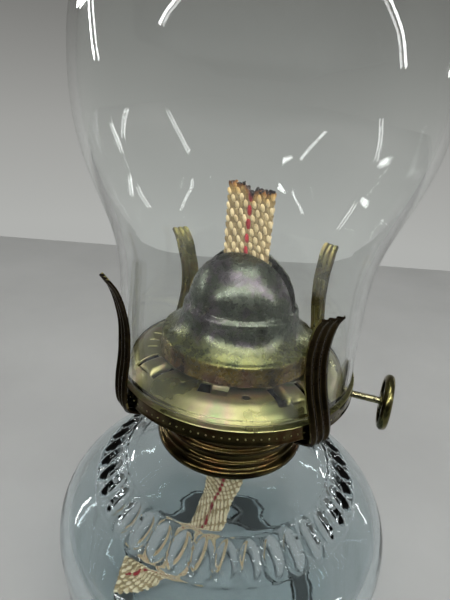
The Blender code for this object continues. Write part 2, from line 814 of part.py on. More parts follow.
wick_height = wick_top_z - wick_bottom_z
wick = flat("wick", [rounded_slab(wick_width, wick_thickness)], wick_height, cotton)
wick.location.z = wick_bottom_z + wick_height / 2

tail_rest = glass_floor + wick_thickness / 2 + seam
tail_rings = 18
tail_turn = 62.0         # degrees that the tail twists on its way down
# The tail's route: shares of its reach to the left and to the front, and of its drop.
tail_left_shares = (0, 0.02, 0.13, 0.36, 0.66, 0.93, 1.22)
tail_front_shares = (0, 0.02, 0.10, 0.34, 0.70, 0.95, 1.14)
tail_drop_shares = (0, 0.20, 0.46, 0.70, 0.89, 0.985, 1)


def through(knots, count):
    """Points along a smooth curve through the knots."""
    line = []
    last = len(knots) - 1
    for i in range(count + 1):
        at = i * last / count
        k = min(int(at), last - 1)
        t = at - k
        p0, p1, p2, p3 = knots[max(k - 1, 0)], knots[k], knots[k + 1], knots[min(k + 2, last)]
        line.append(0.5 * (2 * p1 + (p2 - p0) * t + (2 * p0 - 5 * p1 + 4 * p2 - p3) * t ** 2
                           + (3 * p1 - p0 - 3 * p2 + p3) * t ** 3))
    return line


def tail_strip(bm):
    """A flat strip, ring by ring along its route, that twists as it goes down."""
    top = wick_bottom_z - seam
    knots = [Vector((-tail_side * x, -tail_front * y, top - (top - tail_rest) * z))
             for x, y, z in zip(tail_left_shares, tail_front_shares, tail_drop_shares)]
    route = through(knots, tail_rings)
    bmesh.ops.create_cube(bm, size=1)
    uprights = [e for e in bm.edges if abs(e.verts[0].co.z - e.verts[1].co.z) > 0.5]
    bmesh.ops.subdivide_edges(bm, edges=uprights, cuts=tail_rings - 1, use_grid_fill=True)
    for vert in bm.verts:
        k = round((0.5 - vert.co.z) * tail_rings)
        ahead = route[min(k + 1, tail_rings)] - route[max(k - 1, 0)]
        turn = math.radians(tail_turn) * min(1, k / tail_rings * 2)
        along = Vector((math.cos(turn), -math.sin(turn), 0))
        if k == 0:
            ahead = Vector((0, 0, -1))
        across = along.cross(ahead).normalized()
        wide = ahead.cross(across).normalized()
        vert.co = (route[k] + wide * (vert.co.x * wick_width)
                   + across * (vert.co.y * wick_thickness))


tail = solid("wick_tail", tail_strip, cotton, lamp)

# Chimney


def chimney_outline():
    """The outer face from the top lip down to the foot."""
    top = chimney_z + chimney_height
    points = [(chimney_top_radius + chimney_bead, top), (chimney_top_radius, top - chimney_bead_height)]
    for h, r in zip(upper_height_shares, upper_radius_shares):
        points.append((chimney_top_radius + (chimney_belly_radius - chimney_top_radius) * r,
                       chimney_z + chimney_height * h))
    waist = chimney_radius - chimney_bead / 2
    for h, r in zip(lower_height_shares, lower_radius_shares):
        points.append((waist + (chimney_belly_radius - waist) * r, chimney_z + chimney_height * h))
    points += [(waist, chimney_z + chimney_bead_fade), (chimney_radius, chimney_z + chimney_bead_height),
               (chimney_radius, chimney_z)]
    return [Vector(p) for p in points]


chimney_outer = chimney_outline()
chimney_inner = offset(chimney_outer, chimney_wall)
chimney_inner[0].y = chimney_outer[0].y
chimney_inner[-1].y = chimney_z
turned("chimney", chimney_outer + chimney_inner[::-1], chimney_glass)

# Prongs and rivets

prong_lie = prong_sheet / 2 + seam
prong_near = chimney_radius + seam + prong_sheet / 2


def prong_route():
    """A prong's middle line in radius and height, from its tip to the end of its foot."""
    touch_z = rim_z + prong_height * prong_touch_share
    lean = prong_near - prong_sheet / 2
    tip = Vector((lean + prong_tip_out, rim_z + prong_height))
    touch = Vector((prong_near, touch_z))
    base = Vector((prong_near + prong_base_out, rim_z + prong_base_out))
    bend = Vector((max(base.x - prong_base_out * prong_bend_share, rim_radius + skirt_flare + seam + prong_sheet),
                   rim_z - skirt_drop))
    knee_x, knee_z = prong_knee_out_shares
    knee = on_slope(prong_knee_share, prong_lie) + Vector((knee_x, -knee_z)) * prong_base_out
    foot_start = on_slope(prong_start_share, prong_lie)
    foot_end = foot_start + slope * prong_foot
    mid_up = tip.lerp(touch, 0.5) - Vector((prong_tip_out * prong_upper_bow_share, 0))
    mid_low = touch.lerp(base, 0.5) - Vector((prong_base_out * prong_lower_bow_share, 0))
    knots = [tip, mid_up, touch, mid_low, base, bend, knee, foot_start, foot_end]
    return through(knots, prong_rings)


def prong_section():
    """A ribbed strip's section: depth across, and width along, with its ribs outwards."""
    count = 2 * prong_ribs
    outer = [(-prong_sheet / 2 - prong_rib * (k % 2), prong_width * (k / count - 0.5))
             for k in range(count + 1)]
    return outer + [(prong_sheet / 2, prong_width / 2), (prong_sheet / 2, -prong_width / 2)]


section = bpy.data.curves.new("prong section", "CURVE")
section.dimensions = "2D"
section_line = section.splines.new("POLY")
section_points = prong_section()
section_line.points.add(len(section_points) - 1)
section_line.use_cyclic_u = True
for spot, (x, y) in zip(section_line.points, section_points):
    spot.co = (x, y, 0, 1)
section_holder = bpy.data.objects.new("prong section", section)
cutters.objects.link(section_holder)
section_holder.hide_render = True
section_holder.display_type = "WIRE"


def prong_mesh(name):
    """The ribbed strip swept along the prong's route."""
    curve = bpy.data.curves.new(name, "CURVE")
    curve.dimensions = "2D"
    curve.fill_mode = "NONE"
    curve.bevel_mode = "OBJECT"
    curve.bevel_object = section_holder
    curve.use_fill_caps = True
    curve.render_resolution_u = 0
    line = curve.splines.new("POLY")
    route = prong_route()
    line.points.add(len(route) - 1)
    for spot, point in zip(line.points, route):
        spot.co = (point.x, point.y, 0, 1)
    return as_mesh(curve, name, dark_chromate)


def rivet_hole(bm):
    rod(bm, spoke(0, on_slope(rivet_share, -overrun)), spoke(0, on_slope(rivet_share, 2 * overrun)),
        rivet_radius + seam, 10)


rivet_inside = -sheet - seam
rivet_outside = prong_lie + prong_sheet / 2 + prong_rib
rivet_profile = [(0, rivet_outside + rivet_head), (rivet_head_radius * rivet_crown_share, rivet_outside + rivet_head),
                 (rivet_head_radius, rivet_outside + seam), (rivet_radius, rivet_outside + seam),
                 (rivet_radius, rivet_inside), (rivet_head_radius, rivet_inside),
                 (rivet_head_radius * rivet_crown_share, rivet_inside - rivet_head), (0, rivet_inside - rivet_head)]
slope_turn = Vector((0, 0, 1)).rotation_difference(spoke(0, slope_out)).to_matrix().to_4x4()
foot_hole = solid("foot hole", rivet_hole).data
for name, angle in zip(prong_names, prong_angles):
    prong = prong_mesh(name)
    stand_up(prong)
    prong.rotation_euler.z = math.radians(angle)
    hole = place(foot_hole, name + " hole", None, cutters)
    hole.rotation_euler.z = math.radians(angle)
    boolean(prong, hole)
    rivet = turned(name.replace("prong", "rivet"), rivet_profile, steel, 10, closed=False)
    rivet.matrix_world = (about_axis(angle) @ Matrix.Translation(spoke(0, on_slope(rivet_share)))
                          @ slope_turn)
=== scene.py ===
import math
import random

import bmesh
import bpy
from mathutils import Matrix, Vector, noise


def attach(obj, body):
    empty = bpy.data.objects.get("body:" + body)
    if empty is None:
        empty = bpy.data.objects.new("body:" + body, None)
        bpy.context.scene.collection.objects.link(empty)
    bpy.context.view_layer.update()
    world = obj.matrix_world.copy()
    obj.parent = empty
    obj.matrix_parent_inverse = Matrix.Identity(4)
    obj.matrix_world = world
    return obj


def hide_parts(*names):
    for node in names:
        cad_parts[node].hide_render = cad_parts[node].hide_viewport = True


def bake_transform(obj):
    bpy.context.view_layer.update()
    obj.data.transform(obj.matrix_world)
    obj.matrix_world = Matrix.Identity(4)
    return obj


# Kerosene table lamp: pressed-glass fount, plated flat-wick burner, woven wick and glass chimney.
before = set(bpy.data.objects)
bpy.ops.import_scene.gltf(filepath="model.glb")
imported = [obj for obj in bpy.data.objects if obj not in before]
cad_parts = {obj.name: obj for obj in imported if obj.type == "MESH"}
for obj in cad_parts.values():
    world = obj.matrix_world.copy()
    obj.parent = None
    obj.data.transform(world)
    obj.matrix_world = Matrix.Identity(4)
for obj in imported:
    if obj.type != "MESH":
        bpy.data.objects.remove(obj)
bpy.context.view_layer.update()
mm = 0.001
scene = bpy.context.scene
print("frame loaded")


def hexToLinear(hexText):
    channels = [int(hexText[i:i + 2], 16) / 255 for i in (1, 3, 5)]
    return [c / 12.92 if c <= 0.04045 else ((c + 0.055) / 1.055) ** 2.4 for c in channels] + [1.0]


def addNode(tree, kind, settings=None, links=None):
    node = tree.nodes.new(kind)
    for name, value in (settings or {}).items():
        if name == "stops":
            ramp = node.color_ramp.elements
            while len(ramp) < len(value):
                ramp.new(0.5)
            for stop, (place, colour) in zip(ramp, value):
                stop.position = place
                stop.color = hexToLinear(colour)
        elif isinstance(name, int) or name in node.inputs:
            node.inputs[name].default_value = value
        else:
            setattr(node, name, value)
    for name, socket in (links or {}).items():
        tree.links.new(socket, node.inputs[name])
    return node


def newMaterial(name):
    made = bpy.data.materials.new(name)
    made.use_nodes = True
    made.node_tree.nodes.clear()
    return made, made.node_tree


# Soda-lime glass, clear with a light blue cast that gathers in the thick edges. The pressed fount is a
# little wavy and wrinkled where the cold mould chilled it, the blown chimney almost smooth.
def sodaGlass(name, tint, waveMm, waveHeight, chillMm=0, chillHeight=0.0, absorb=None, density=0.0, shade=0.92):
    made, tree = newMaterial(name)
    place = addNode(tree, "ShaderNodeTexCoord")
    wave = addNode(tree, "ShaderNodeTexNoise", {"Scale": 1000 / waveMm, "Detail": 1.0}, {"Vector": place.outputs["Object"]})
    bump = addNode(tree, "ShaderNodeBump", {"Strength": 1.0, "Distance": waveHeight * mm},
                   {"Height": wave.outputs["Fac"]})
    if chillMm:
        chill = addNode(tree, "ShaderNodeTexNoise", {"Scale": 1000 / chillMm, "Detail": 2.0, "Distortion": 1.4},
                        {"Vector": place.outputs["Object"]})
        bump = addNode(tree, "ShaderNodeBump", {"Strength": 1.0, "Distance": chillHeight * mm},
                       {"Height": chill.outputs["Fac"], "Normal": bump.outputs["Normal"]})
    glass = addNode(tree, "ShaderNodeBsdfPrincipled",
                    {"Base Color": hexToLinear(tint), "Roughness": 0.0, "IOR": 1.5, "Transmission Weight": 1.0},
                    {"Normal": bump.outputs["Normal"]})
    through = addNode(tree, "ShaderNodeBsdfTransparent", {"Color": (shade, shade, shade, 1.0)})
    path = addNode(tree, "ShaderNodeLightPath")
    mix = addNode(tree, "ShaderNodeMixShader", None,
                  {0: path.outputs["Is Shadow Ray"], 1: glass.outputs["BSDF"], 2: through.outputs["BSDF"]})
    out = addNode(tree, "ShaderNodeOutputMaterial", None, {"Surface": mix.outputs["Shader"]})
    if absorb:
        inside = addNode(tree, "ShaderNodeVolumeAbsorption", {"Color": hexToLinear(absorb), "Density": density})
        tree.links.new(inside.outputs["Volume"], out.inputs["Volume"])
    return made


# Zinc plate with a chromate film: a soft metal gloss whose film drifts between gold, green and pink over
# a centimetre or so, with a fine grain from the barrel it was plated in.
def chromatePlate(name, stops, patchMm, roughness, grainMm=0.3, grainDepth=0.003, speckle=0.16):
    made, tree = newMaterial(name)
    place = addNode(tree, "ShaderNodeTexCoord")
    film = addNode(tree, "ShaderNodeTexNoise", {"Scale": 1000 / patchMm, "Detail": 3.0, "Roughness": 0.55},
                   {"Vector": place.outputs["Object"]})
    hue = addNode(tree, "ShaderNodeValToRGB", {"stops": stops}, {"Fac": film.outputs["Fac"]})
    grain = addNode(tree, "ShaderNodeTexNoise", {"Scale": 1000 / grainMm, "Detail": 4.0, "Roughness": 0.6},
                    {"Vector": place.outputs["Object"]})
    dull = addNode(tree, "ShaderNodeMapRange", {"From Min": 0.35, "From Max": 0.65, "To Min": 1 - speckle, "To Max": 1.0},
                   {"Value": grain.outputs["Fac"]})
    tone = addNode(tree, "ShaderNodeVectorMath", {"operation": "SCALE"},
                   {0: hue.outputs["Color"], "Scale": dull.outputs["Result"]})
    rough = addNode(tree, "ShaderNodeMapRange",
                    {"From Min": 0.3, "From Max": 0.7, "To Min": roughness[0], "To Max": roughness[1]},
                    {"Value": film.outputs["Fac"]})
    bump = addNode(tree, "ShaderNodeBump", {"Strength": 1.0, "Distance": grainDepth * mm},
                   {"Height": grain.outputs["Fac"]})
    metal = addNode(tree, "ShaderNodeBsdfPrincipled", {"Metallic": 1.0},
                    {"Base Color": tone.outputs["Vector"], "Roughness": rough.outputs["Result"],
                     "Normal": bump.outputs["Normal"]})
    addNode(tree, "ShaderNodeOutputMaterial", None, {"Surface": metal.outputs["BSDF"]})
    return made


# Plated sheet that the flame has heated for years: grey-violet and green temper colours over the crown,
# yellower down the flare and brown round the skirt, with dark pin specks.
def heatTintedSheet(name, domeSizes):
    made, tree = newMaterial(name)
    place = addNode(tree, "ShaderNodeTexCoord")
    patches = addNode(tree, "ShaderNodeTexNoise", {"Scale": 1000 / 7.0, "Detail": 4.0, "Roughness": 0.62},
                      {"Vector": place.outputs["Object"]})
    crown = addNode(tree, "ShaderNodeValToRGB",
                    {"stops": [(0.30, "#4b5144"), (0.43, "#62675c"), (0.52, "#5a5f51"), (0.61, "#6e666c"), (0.72, "#54604d")]},
                    {"Fac": patches.outputs["Fac"]})
    flare = addNode(tree, "ShaderNodeValToRGB",
                    {"stops": [(0.32, "#505834"), (0.48, "#848345"), (0.62, "#6d7644"), (0.74, "#857652")]},
                    {"Fac": patches.outputs["Fac"]})
    skirt = addNode(tree, "ShaderNodeValToRGB",
                    {"stops": [(0.30, "#4e3d1e"), (0.47, "#776530"), (0.60, "#664b3d"), (0.72, "#6b5b2d")]},
                    {"Fac": patches.outputs["Fac"]})
    height = addNode(tree, "ShaderNodeSeparateXYZ", None, {"Vector": place.outputs["Object"]})
    wobble = addNode(tree, "ShaderNodeMath", {"operation": "MULTIPLY_ADD", 1: 5 * mm},
                     {0: patches.outputs["Fac"], 2: height.outputs["Z"]})
    low = addNode(tree, "ShaderNodeMapRange",
                  {"From Min": domeSizes["flareTop"] * mm, "From Max": domeSizes["flareFoot"] * mm, "To Min": 0.0,
                   "To Max": 1.0}, {"Value": wobble.outputs["Value"]})
    edge = addNode(tree, "ShaderNodeMapRange",
                   {"From Min": (domeSizes["bandTop"] + 0.5) * mm, "From Max": (domeSizes["bandTop"] - 0.3) * mm,
                    "To Min": 0.0, "To Max": 1.0}, {"Value": height.outputs["Z"]})
    upper = addNode(tree, "ShaderNodeMix", {"data_type": "RGBA"},
                    {0: low.outputs["Result"], 6: crown.outputs["Color"], 7: flare.outputs["Color"]})
    whole = addNode(tree, "ShaderNodeMix", {"data_type": "RGBA"},
                    {0: edge.outputs["Result"], 6: upper.outputs[2], 7: skirt.outputs["Color"]})
    pits = addNode(tree, "ShaderNodeTexNoise", {"Scale": 1000 / 0.8, "Detail": 3.0, "Roughness": 0.7},
                   {"Vector": place.outputs["Object"]})
    speck = addNode(tree, "ShaderNodeMapRange", {"From Min": 0.30, "From Max": 0.40, "To Min": 0.35, "To Max": 1.0},
                    {"Value": pits.outputs["Fac"]})
    stain = addNode(tree, "ShaderNodeTexNoise", {"Scale": 1000 / 1.9, "Detail": 5.0, "Roughness": 0.65},
                    {"Vector": place.outputs["Object"]})
    mottle = addNode(tree, "ShaderNodeMapRange", {"From Min": 0.36, "From Max": 0.62, "To Min": 0.82, "To Max": 1.05},
                     {"Value": stain.outputs["Fac"]})
    shade = addNode(tree, "ShaderNodeMath", {"operation": "MULTIPLY"},
                    {0: speck.outputs["Result"], 1: mottle.outputs["Result"]})
    tone = addNode(tree, "ShaderNodeVectorMath", {"operation": "SCALE"},
                   {0: whole.outputs[2], "Scale": shade.outputs["Value"]})
    rough = addNode(tree, "ShaderNodeMapRange", {"From Min": 0.36, "From Max": 0.62, "To Min": 0.34, "To Max": 0.22},
                    {"Value": stain.outputs["Fac"]})
    bump = addNode(tree, "ShaderNodeBump", {"Strength": 1.0, "Distance": 0.012 * mm}, {"Height": pits.outputs["Fac"]})
    metal = addNode(tree, "ShaderNodeBsdfPrincipled", {"Metallic": 1.0},
                    {"Base Color": tone.outputs["Vector"], "Roughness": rough.outputs["Result"],
                     "Normal": bump.outputs["Normal"]})
    addNode(tree, "ShaderNodeOutputMaterial", None, {"Surface": metal.outputs["BSDF"]})
    return made


# Cotton yarn: matt, cream and uneven, brown and then black where the flame has charred the wick's end.
def cottonYarn(name, cream, shadow, charTop=None, sheen=0.2, yarnMm=0.28):
    made, tree = newMaterial(name)
    place = addNode(tree, "ShaderNodeTexCoord")
    blotch = addNode(tree, "ShaderNodeTexNoise", {"Scale": 1000 / 2.2, "Detail": 3.0}, {"Vector": place.outputs["Object"]})
    base = addNode(tree, "ShaderNodeValToRGB", {"stops": [(0.3, shadow), (0.62, cream)]},
                   {"Fac": blotch.outputs["Fac"]})
    fibre = addNode(tree, "ShaderNodeTexNoise", {"Scale": 1000 / yarnMm, "Detail": 2.0, "Distortion": 1.2},
                    {"Vector": place.outputs["Object"]})
    bump = addNode(tree, "ShaderNodeBump", {"Strength": 1.0, "Distance": 0.03 * mm}, {"Height": fibre.outputs["Fac"]})
    colour = base.outputs["Color"]
    if charTop:
        height = addNode(tree, "ShaderNodeAttribute", {"attribute_name": "burnHeight"})
        ragged = addNode(tree, "ShaderNodeMath", {"operation": "MULTIPLY_ADD", 1: 2.6 * mm},
                         {0: blotch.outputs["Fac"], 2: height.outputs["Fac"]})
        burn = addNode(tree, "ShaderNodeMapRange",
                       {"From Min": (charTop - 3.2) * mm, "From Max": (charTop + 1.6) * mm, "To Min": 0.0, "To Max": 1.0},
                       {"Value": ragged.outputs["Value"]})
        scorch = addNode(tree, "ShaderNodeValToRGB",
                         {"stops": [(0.0, "#ffffff"), (0.42, "#f0dcb0"), (0.62, "#b07c3c"), (0.76, "#3a220f"),
                                    (0.88, "#0a0806")]}, {"Fac": burn.outputs["Result"]})
        mixed = addNode(tree, "ShaderNodeMix", {"data_type": "RGBA", "blend_type": "MULTIPLY", 0: 1.0},
                        {6: base.outputs["Color"], 7: scorch.outputs["Color"]})
        colour = mixed.outputs[2]
    yarn = addNode(tree, "ShaderNodeBsdfPrincipled", {"Roughness": 0.85, "Sheen Weight": sheen, "Sheen Roughness": 0.5},
                   {"Base Color": colour, "Normal": bump.outputs["Normal"]})
    addNode(tree, "ShaderNodeOutputMaterial", None, {"Surface": yarn.outputs["BSDF"]})
    return made


# Nitrile rubber, moulded: matt black with a faint bloom.
def mouldedRubber(name):
    made, tree = newMaterial(name)
    place = addNode(tree, "ShaderNodeTexCoord")
    bloom = addNode(tree, "ShaderNodeTexNoise", {"Scale": 1000 / 1.5, "Detail": 4.0}, {"Vector": place.outputs["Object"]})
    tone = addNode(tree, "ShaderNodeValToRGB", {"stops": [(0.35, "#141414"), (0.7, "#262625")]},
                   {"Fac": bloom.outputs["Fac"]})
    bump = addNode(tree, "ShaderNodeBump", {"Strength": 1.0, "Distance": 0.02 * mm}, {"Height": bloom.outputs["Fac"]})
    rubber = addNode(tree, "ShaderNodeBsdfPrincipled", {"Roughness": 0.72},
                     {"Base Color": tone.outputs["Color"], "Normal": bump.outputs["Normal"]})
    addNode(tree, "ShaderNodeOutputMaterial", None, {"Surface": rubber.outputs["BSDF"]})
    return made


domeSizes = {
    "steps": 240, "sheet": 0.5, "slotHalf": 2.8, "slotFoot": 123.3, "slotReach": 14.3, "flareTop": 121.5,
    "flareFoot": 115.0, "bandTop": 113.9, "feet": 4,
    # outside of the bell, radius and height, from the crown down
    "bell": [(0.0, 138.05), (2.4, 137.93), (4.6, 137.55), (7.0, 136.6), (9.3, 135.05), (11.2, 133.1), (12.8, 130.8),
             (13.95, 128.3), (14.6, 126.0), (14.9, 124.6), (15.0, 124.0)],
    "crease": [(15.0, 124.0), (15.2, 123.55), (15.65, 123.15), (16.05, 122.6), (16.2, 121.9)],
    "flare": [(16.2, 121.9), (16.35, 120.6), (16.85, 118.9), (17.8, 117.2), (19.2, 115.7), (20.6, 114.75),
              (21.4, 114.4)],
    "skirt": [(21.4, 114.4), (21.85, 114.1), (21.95, 113.6), (21.9, 112.2), (22.0, 110.8), (22.28, 109.6),
              (22.4, 109.3), (22.38, 109.15)],
}

fountGlassMat = sodaGlass("pressedSodaGlass", "#f5f9fa", 9.0, 0.05, chillMm=2.2, chillHeight=0.008, absorb="#5aaabb",
                          density=23.0, shade=0.66)
chimneyGlassMat = sodaGlass("blownSodaGlass", "#fbfdfc", 30.0, 0.03, shade=0.95)
# gallery: thin yellow film, olive and pale green in the light
yellowPlate = chromatePlate("yellowChromatedZinc",
                            [(0.30, "#6f744a"), (0.42, "#8f8c5c"), (0.52, "#989468"), (0.60, "#94836c"), (0.70, "#76845a")],
                            11.0, (0.24, 0.36))
# prongs' outer side and the bowl: the prongs' brown plating darkened nearly to black, painted shade
paintedShadePlate = chromatePlate("brownChromatedZincPaintedShade",
                          [(0.30, "#1d180e"), (0.45, "#3a301c"), (0.58, "#2f2416"), (0.72, "#433a24")],
                          5.0, (0.18, 0.32))
# prongs: the same plating on their inner side, gold and rusty brown; the outer side takes the darker copy above as
# painted shade
goldPlate = chromatePlate("goldChromatedSpringSteel",
                          [(0.30, "#67633b"), (0.48, "#7d774a"), (0.60, "#75653f"), (0.72, "#837d52")],
                          5.0, (0.22, 0.36))
# cap and skirt: drawn brass-plated sheet under a brown film, glossy; its dark tone is partly painted reflection of the
# shaded room in front, and on the gallery's skirt it is a darker copy of the gallery's own plating, painted shade
capAndShadedSkirtPlate = chromatePlate("bronzeChromatedZincPaintedShade",
                         [(0.30, "#2b2314"), (0.47, "#544a2c"), (0.60, "#46301b"), (0.72, "#5b5232")],
                         8.0, (0.12, 0.22))
# knob: pressed and tumbled, a glossy olive gold
knobPlate = chromatePlate("goldChromatedZinc",
                          [(0.30, "#55532f"), (0.48, "#767047"), (0.62, "#665838"), (0.72, "#7b764c")],
                          6.0, (0.16, 0.28))
# shaft, wheels, tube and rivets: plain zinc from the plating barrel
zincPlate = chromatePlate("barrelPlatedZinc",
                          [(0.30, "#7c785b"), (0.50, "#9a9574"), (0.70, "#878263")], 6.0, (0.22, 0.36))
heatPlate = heatTintedSheet("heatTintedSheet", domeSizes)
rubberMat = mouldedRubber("mouldedRubber")
wickYarn = cottonYarn("warpCotton", "#c3b189", "#a59269", charTop=156.8)  # the loops that stand out, creamy
# the weft's darker tone stands for the shade between the warp loops: painted shade
wickWeftInShade = cottonYarn("weftCottonPaintedShade", "#8b7952", "#6b5a3a", charTop=156.8)  # the ground that shows between, in their shade
wickTracer = cottonYarn("redTracerYarn", "#8e0f18", "#6c0a12", charTop=156.8)
charYarn = cottonYarn("charredCotton", "#0c0a08", "#030202", sheen=0.0)
tailYarn = cottonYarn("soakedWarpCotton", "#d6c8a8", "#b3a27c")  # wet with kerosene, a shade darker
# the tail's weft, likewise darker as painted shade between the loops
tailWeftInShade = cottonYarn("soakedWeftCottonPaintedShade", "#9a8662", "#7d6c4b")
tailTracer = cottonYarn("soakedTracerYarn", "#8a1219", "#690c12")
print("materials made")


def aboutAxis(degrees):
    return Matrix.Rotation(math.radians(degrees), 4, "Z")


def smoothLine(knots, perSpan):
    knots = [Vector(knot) for knot in knots]
    last = len(knots) - 1
    line = []
    for i in range(last):
        p0, p1, p2, p3 = knots[max(i - 1, 0)], knots[i], knots[i + 1], knots[min(i + 2, last)]
        for k in range(perSpan):
            t = k / perSpan
            line.append(0.5 * (2 * p1 + (p2 - p0) * t + (2 * p0 - 5 * p1 + 4 * p2 - p3) * t ** 2
                               + (3 * p1 - p0 - 3 * p2 + p3) * t ** 3))
    return line + [knots[-1]]


def insideLine(path, wall):
    # the same line a wall's thickness to its right
    moved = []
    for i, point in enumerate(path):
        run = path[min(i + 1, len(path) - 1)] - path[max(i - 1, 0)]
        side = Vector((run.y, -run.x)).normalized()
        moved.append(point + side * wall)
    return moved


def spinOutline(bm, outline, steps, closed=False):
    # outline in millimetres, radius and height; an eighth is spun, then doubled three times
    verts = [bm.verts.new((point[0] * mm, 0, point[1] * mm)) for point in outline]
    edges = [bm.edges.new(pair) for pair in zip(verts, verts[1:])]
    if closed:
        edges.append(bm.edges.new((verts[-1], verts[0])))
    bmesh.ops.spin(bm, geom=verts + edges, cent=(0, 0, 0), axis=(0, 0, 1), dvec=(0, 0, 0), angle=math.pi / 4,
                   space=Matrix.Identity(4), steps=steps // 8, use_merge=False, use_normal_flip=False,
                   use_duplicate=False)
    for degrees in (45, 90, 180):
        copy = bmesh.ops.duplicate(bm, geom=bm.verts[:] + bm.edges[:] + bm.faces[:])["geom"]
        bmesh.ops.transform(bm, matrix=aboutAxis(degrees), verts=[g for g in copy if isinstance(g, bmesh.types.BMVert)])
    bmesh.ops.remove_doubles(bm, verts=bm.verts, dist=0.008 * mm)
    bmesh.ops.recalc_face_normals(bm, faces=bm.faces)


def cutOpening(bm, planes, near, reach):
    # cuts the sheet along each plane close by, and takes out what lies behind them all
    close = {f for f in bm.faces if (f.calc_center_median() - near).length < reach}
    for point, normal in planes:
        geom = list(close) + list({e for f in close for e in f.edges}) + list({v for f in close for v in f.verts})
        cut = bmesh.ops.bisect_plane(bm, geom=geom, dist=0.001 * mm, plane_co=point, plane_no=normal)["geom"]
        close = {g for g in cut if isinstance(g, bmesh.types.BMFace)}
    gone = [f for f in close if all((f.calc_center_median() - p).dot(n) < 0 for p, n in planes)]
    bmesh.ops.delete(bm, geom=gone, context="FACES")


def finishPiece(name, bm, materials, body=None, standsFor=(), smooth=38, sheet=None):
    mesh = bpy.data.meshes.new(name)
    bm.to_mesh(mesh)
    bm.free()
    mesh.shade_smooth()
    mesh.set_sharp_from_angle(angle=math.radians(smooth))
    piece = bpy.data.objects.new(name, mesh)
    scene.collection.objects.link(piece)
    for material in materials:
        mesh.materials.append(material)
    if sheet:
        wall = piece.modifiers.new("wall", "SOLIDIFY")
        wall.thickness = sheet * mm
        wall.offset = -1.0
        wall.use_even_offset = True
    if body:
        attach(piece, body)
    if standsFor:
        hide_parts(*standsFor)
    print("made", name, len(mesh.polygons), "faces")
    return piece


fountSizes = {
    "steps": 456, "thumbprints": 38, "bandMiddle": (37.0, 65.6), "bandRun": (7.0, -6.1), "ovalDepth": 1.7,
    "ridge": 0.42, "ledge": 0.3, "ovalShare": 0.84,
    "neck": [(18.6, 87.6), (18.6, 87.3), (18.75, 87.05), (19.35, 86.75), (19.5, 86.55), (19.35, 86.3), (18.75, 86.0),
             (18.6, 85.7), (18.6, 83.6), (18.75, 83.3), (19.35, 82.98), (19.5, 82.75), (19.35, 82.5), (18.75, 82.2),
             (18.6, 81.9), (18.6, 79.2), (18.8, 77.6), (19.6, 76.0), (21.2, 74.9)],
    "shoulder": [(21.2, 74.9), (23.2, 74.1), (25.8, 73.2), (28.8, 71.9), (31.4, 70.2)],
    "band": [(31.4, 70.2), (34.2, 68.1), (37.0, 65.6), (40.2, 63.0), (43.6, 60.8)],
    "belly": [(43.6, 60.8), (47.2, 58.3), (50.1, 55.6), (52.5, 51.6), (53.45, 47.0), (53.4, 42.0), (52.8, 34.0), (52.0, 24.0),
              (50.3, 16.0), (46.6, 9.2), (42.0, 5.0), (39.6, 3.4)],
    "foot": [(39.6, 3.4), (38.6, 2.8), (38.1, 2.2), (38.0, 1.2), (37.8, 0.35), (37.2, 0.0), (31.8, 0.0), (31.2, 0.3),
             (30.2, 1.3), (29.0, 1.6), (15.0, 1.6), (0.0, 1.6)],
    "inside": [(0.0, 6.0), (16.0, 6.0), (33.0, 6.4), (39.0, 8.0), (44.0, 11.8), (47.0, 17.5), (48.4, 25.0),
               (49.3, 34.0), (49.9, 42.0), (49.7, 47.6), (48.4, 51.4), (45.4, 54.6), (41.4, 57.6), (37.6, 60.3),
               (34.0, 62.8), (30.2, 65.8), (26.0, 68.5), (21.6, 70.8), (17.6, 72.6), (15.5, 75.2), (15.2, 80.0)],
}


def pressedFount(sizes):
    bm = bmesh.new()
    lip = [Vector((15.2, 87.5)), Vector((15.35, 87.85)), Vector((15.75, 88.0)), Vector((18.0, 88.0)),
           Vector((18.45, 87.85))]
    outline = smoothLine(sizes["inside"], 3) + lip + smoothLine(sizes["neck"], 2)
    outline += smoothLine(sizes["shoulder"], 3)[1:] + smoothLine(sizes["band"], 12)[1:]
    outline += smoothLine(sizes["belly"], 3)[1:] + [Vector(p) for p in sizes["foot"][1:]]
    spinOutline(bm, outline, sizes["steps"])
    middle, run = Vector(sizes["bandMiddle"]), Vector(sizes["bandRun"])
    half = run.length / 2
    run.normalize()
    out = Vector((-run.y, run.x))
    for vert in bm.verts:
        spot = Vector((math.hypot(vert.co.x, vert.co.y), vert.co.z)) / mm - middle
        along = spot.dot(run) / half
        if abs(along) > 1.5 or abs(spot.dot(out)) > 1.8:
            continue
        turn = math.atan2(vert.co.y, vert.co.x) / (2 * math.pi) * sizes["thumbprints"]
        across = (turn - math.floor(turn)) * 2 - 1
        rim = math.hypot(along, across / sizes["ovalShare"])
        push = sizes["ridge"] * math.exp(-((rim - 1.13) / 0.15) ** 2)
        if rim < 1:
            push -= sizes["ovalDepth"] * (1 - rim ** 2) ** 0.85
        for edge in (-1.24, 1.22):
            push += sizes["ledge"] * math.exp(-((along - edge) / 0.08) ** 2)
        away = Vector((vert.co.x, vert.co.y, 0)).normalized()
        vert.co += (away * out.x + Vector((0, 0, out.y))) * push * mm
    return finishPiece("fountGlass", bm, [fountGlassMat], "fount", ["fount_glass"], smooth=60)


pressedFount(fountSizes)

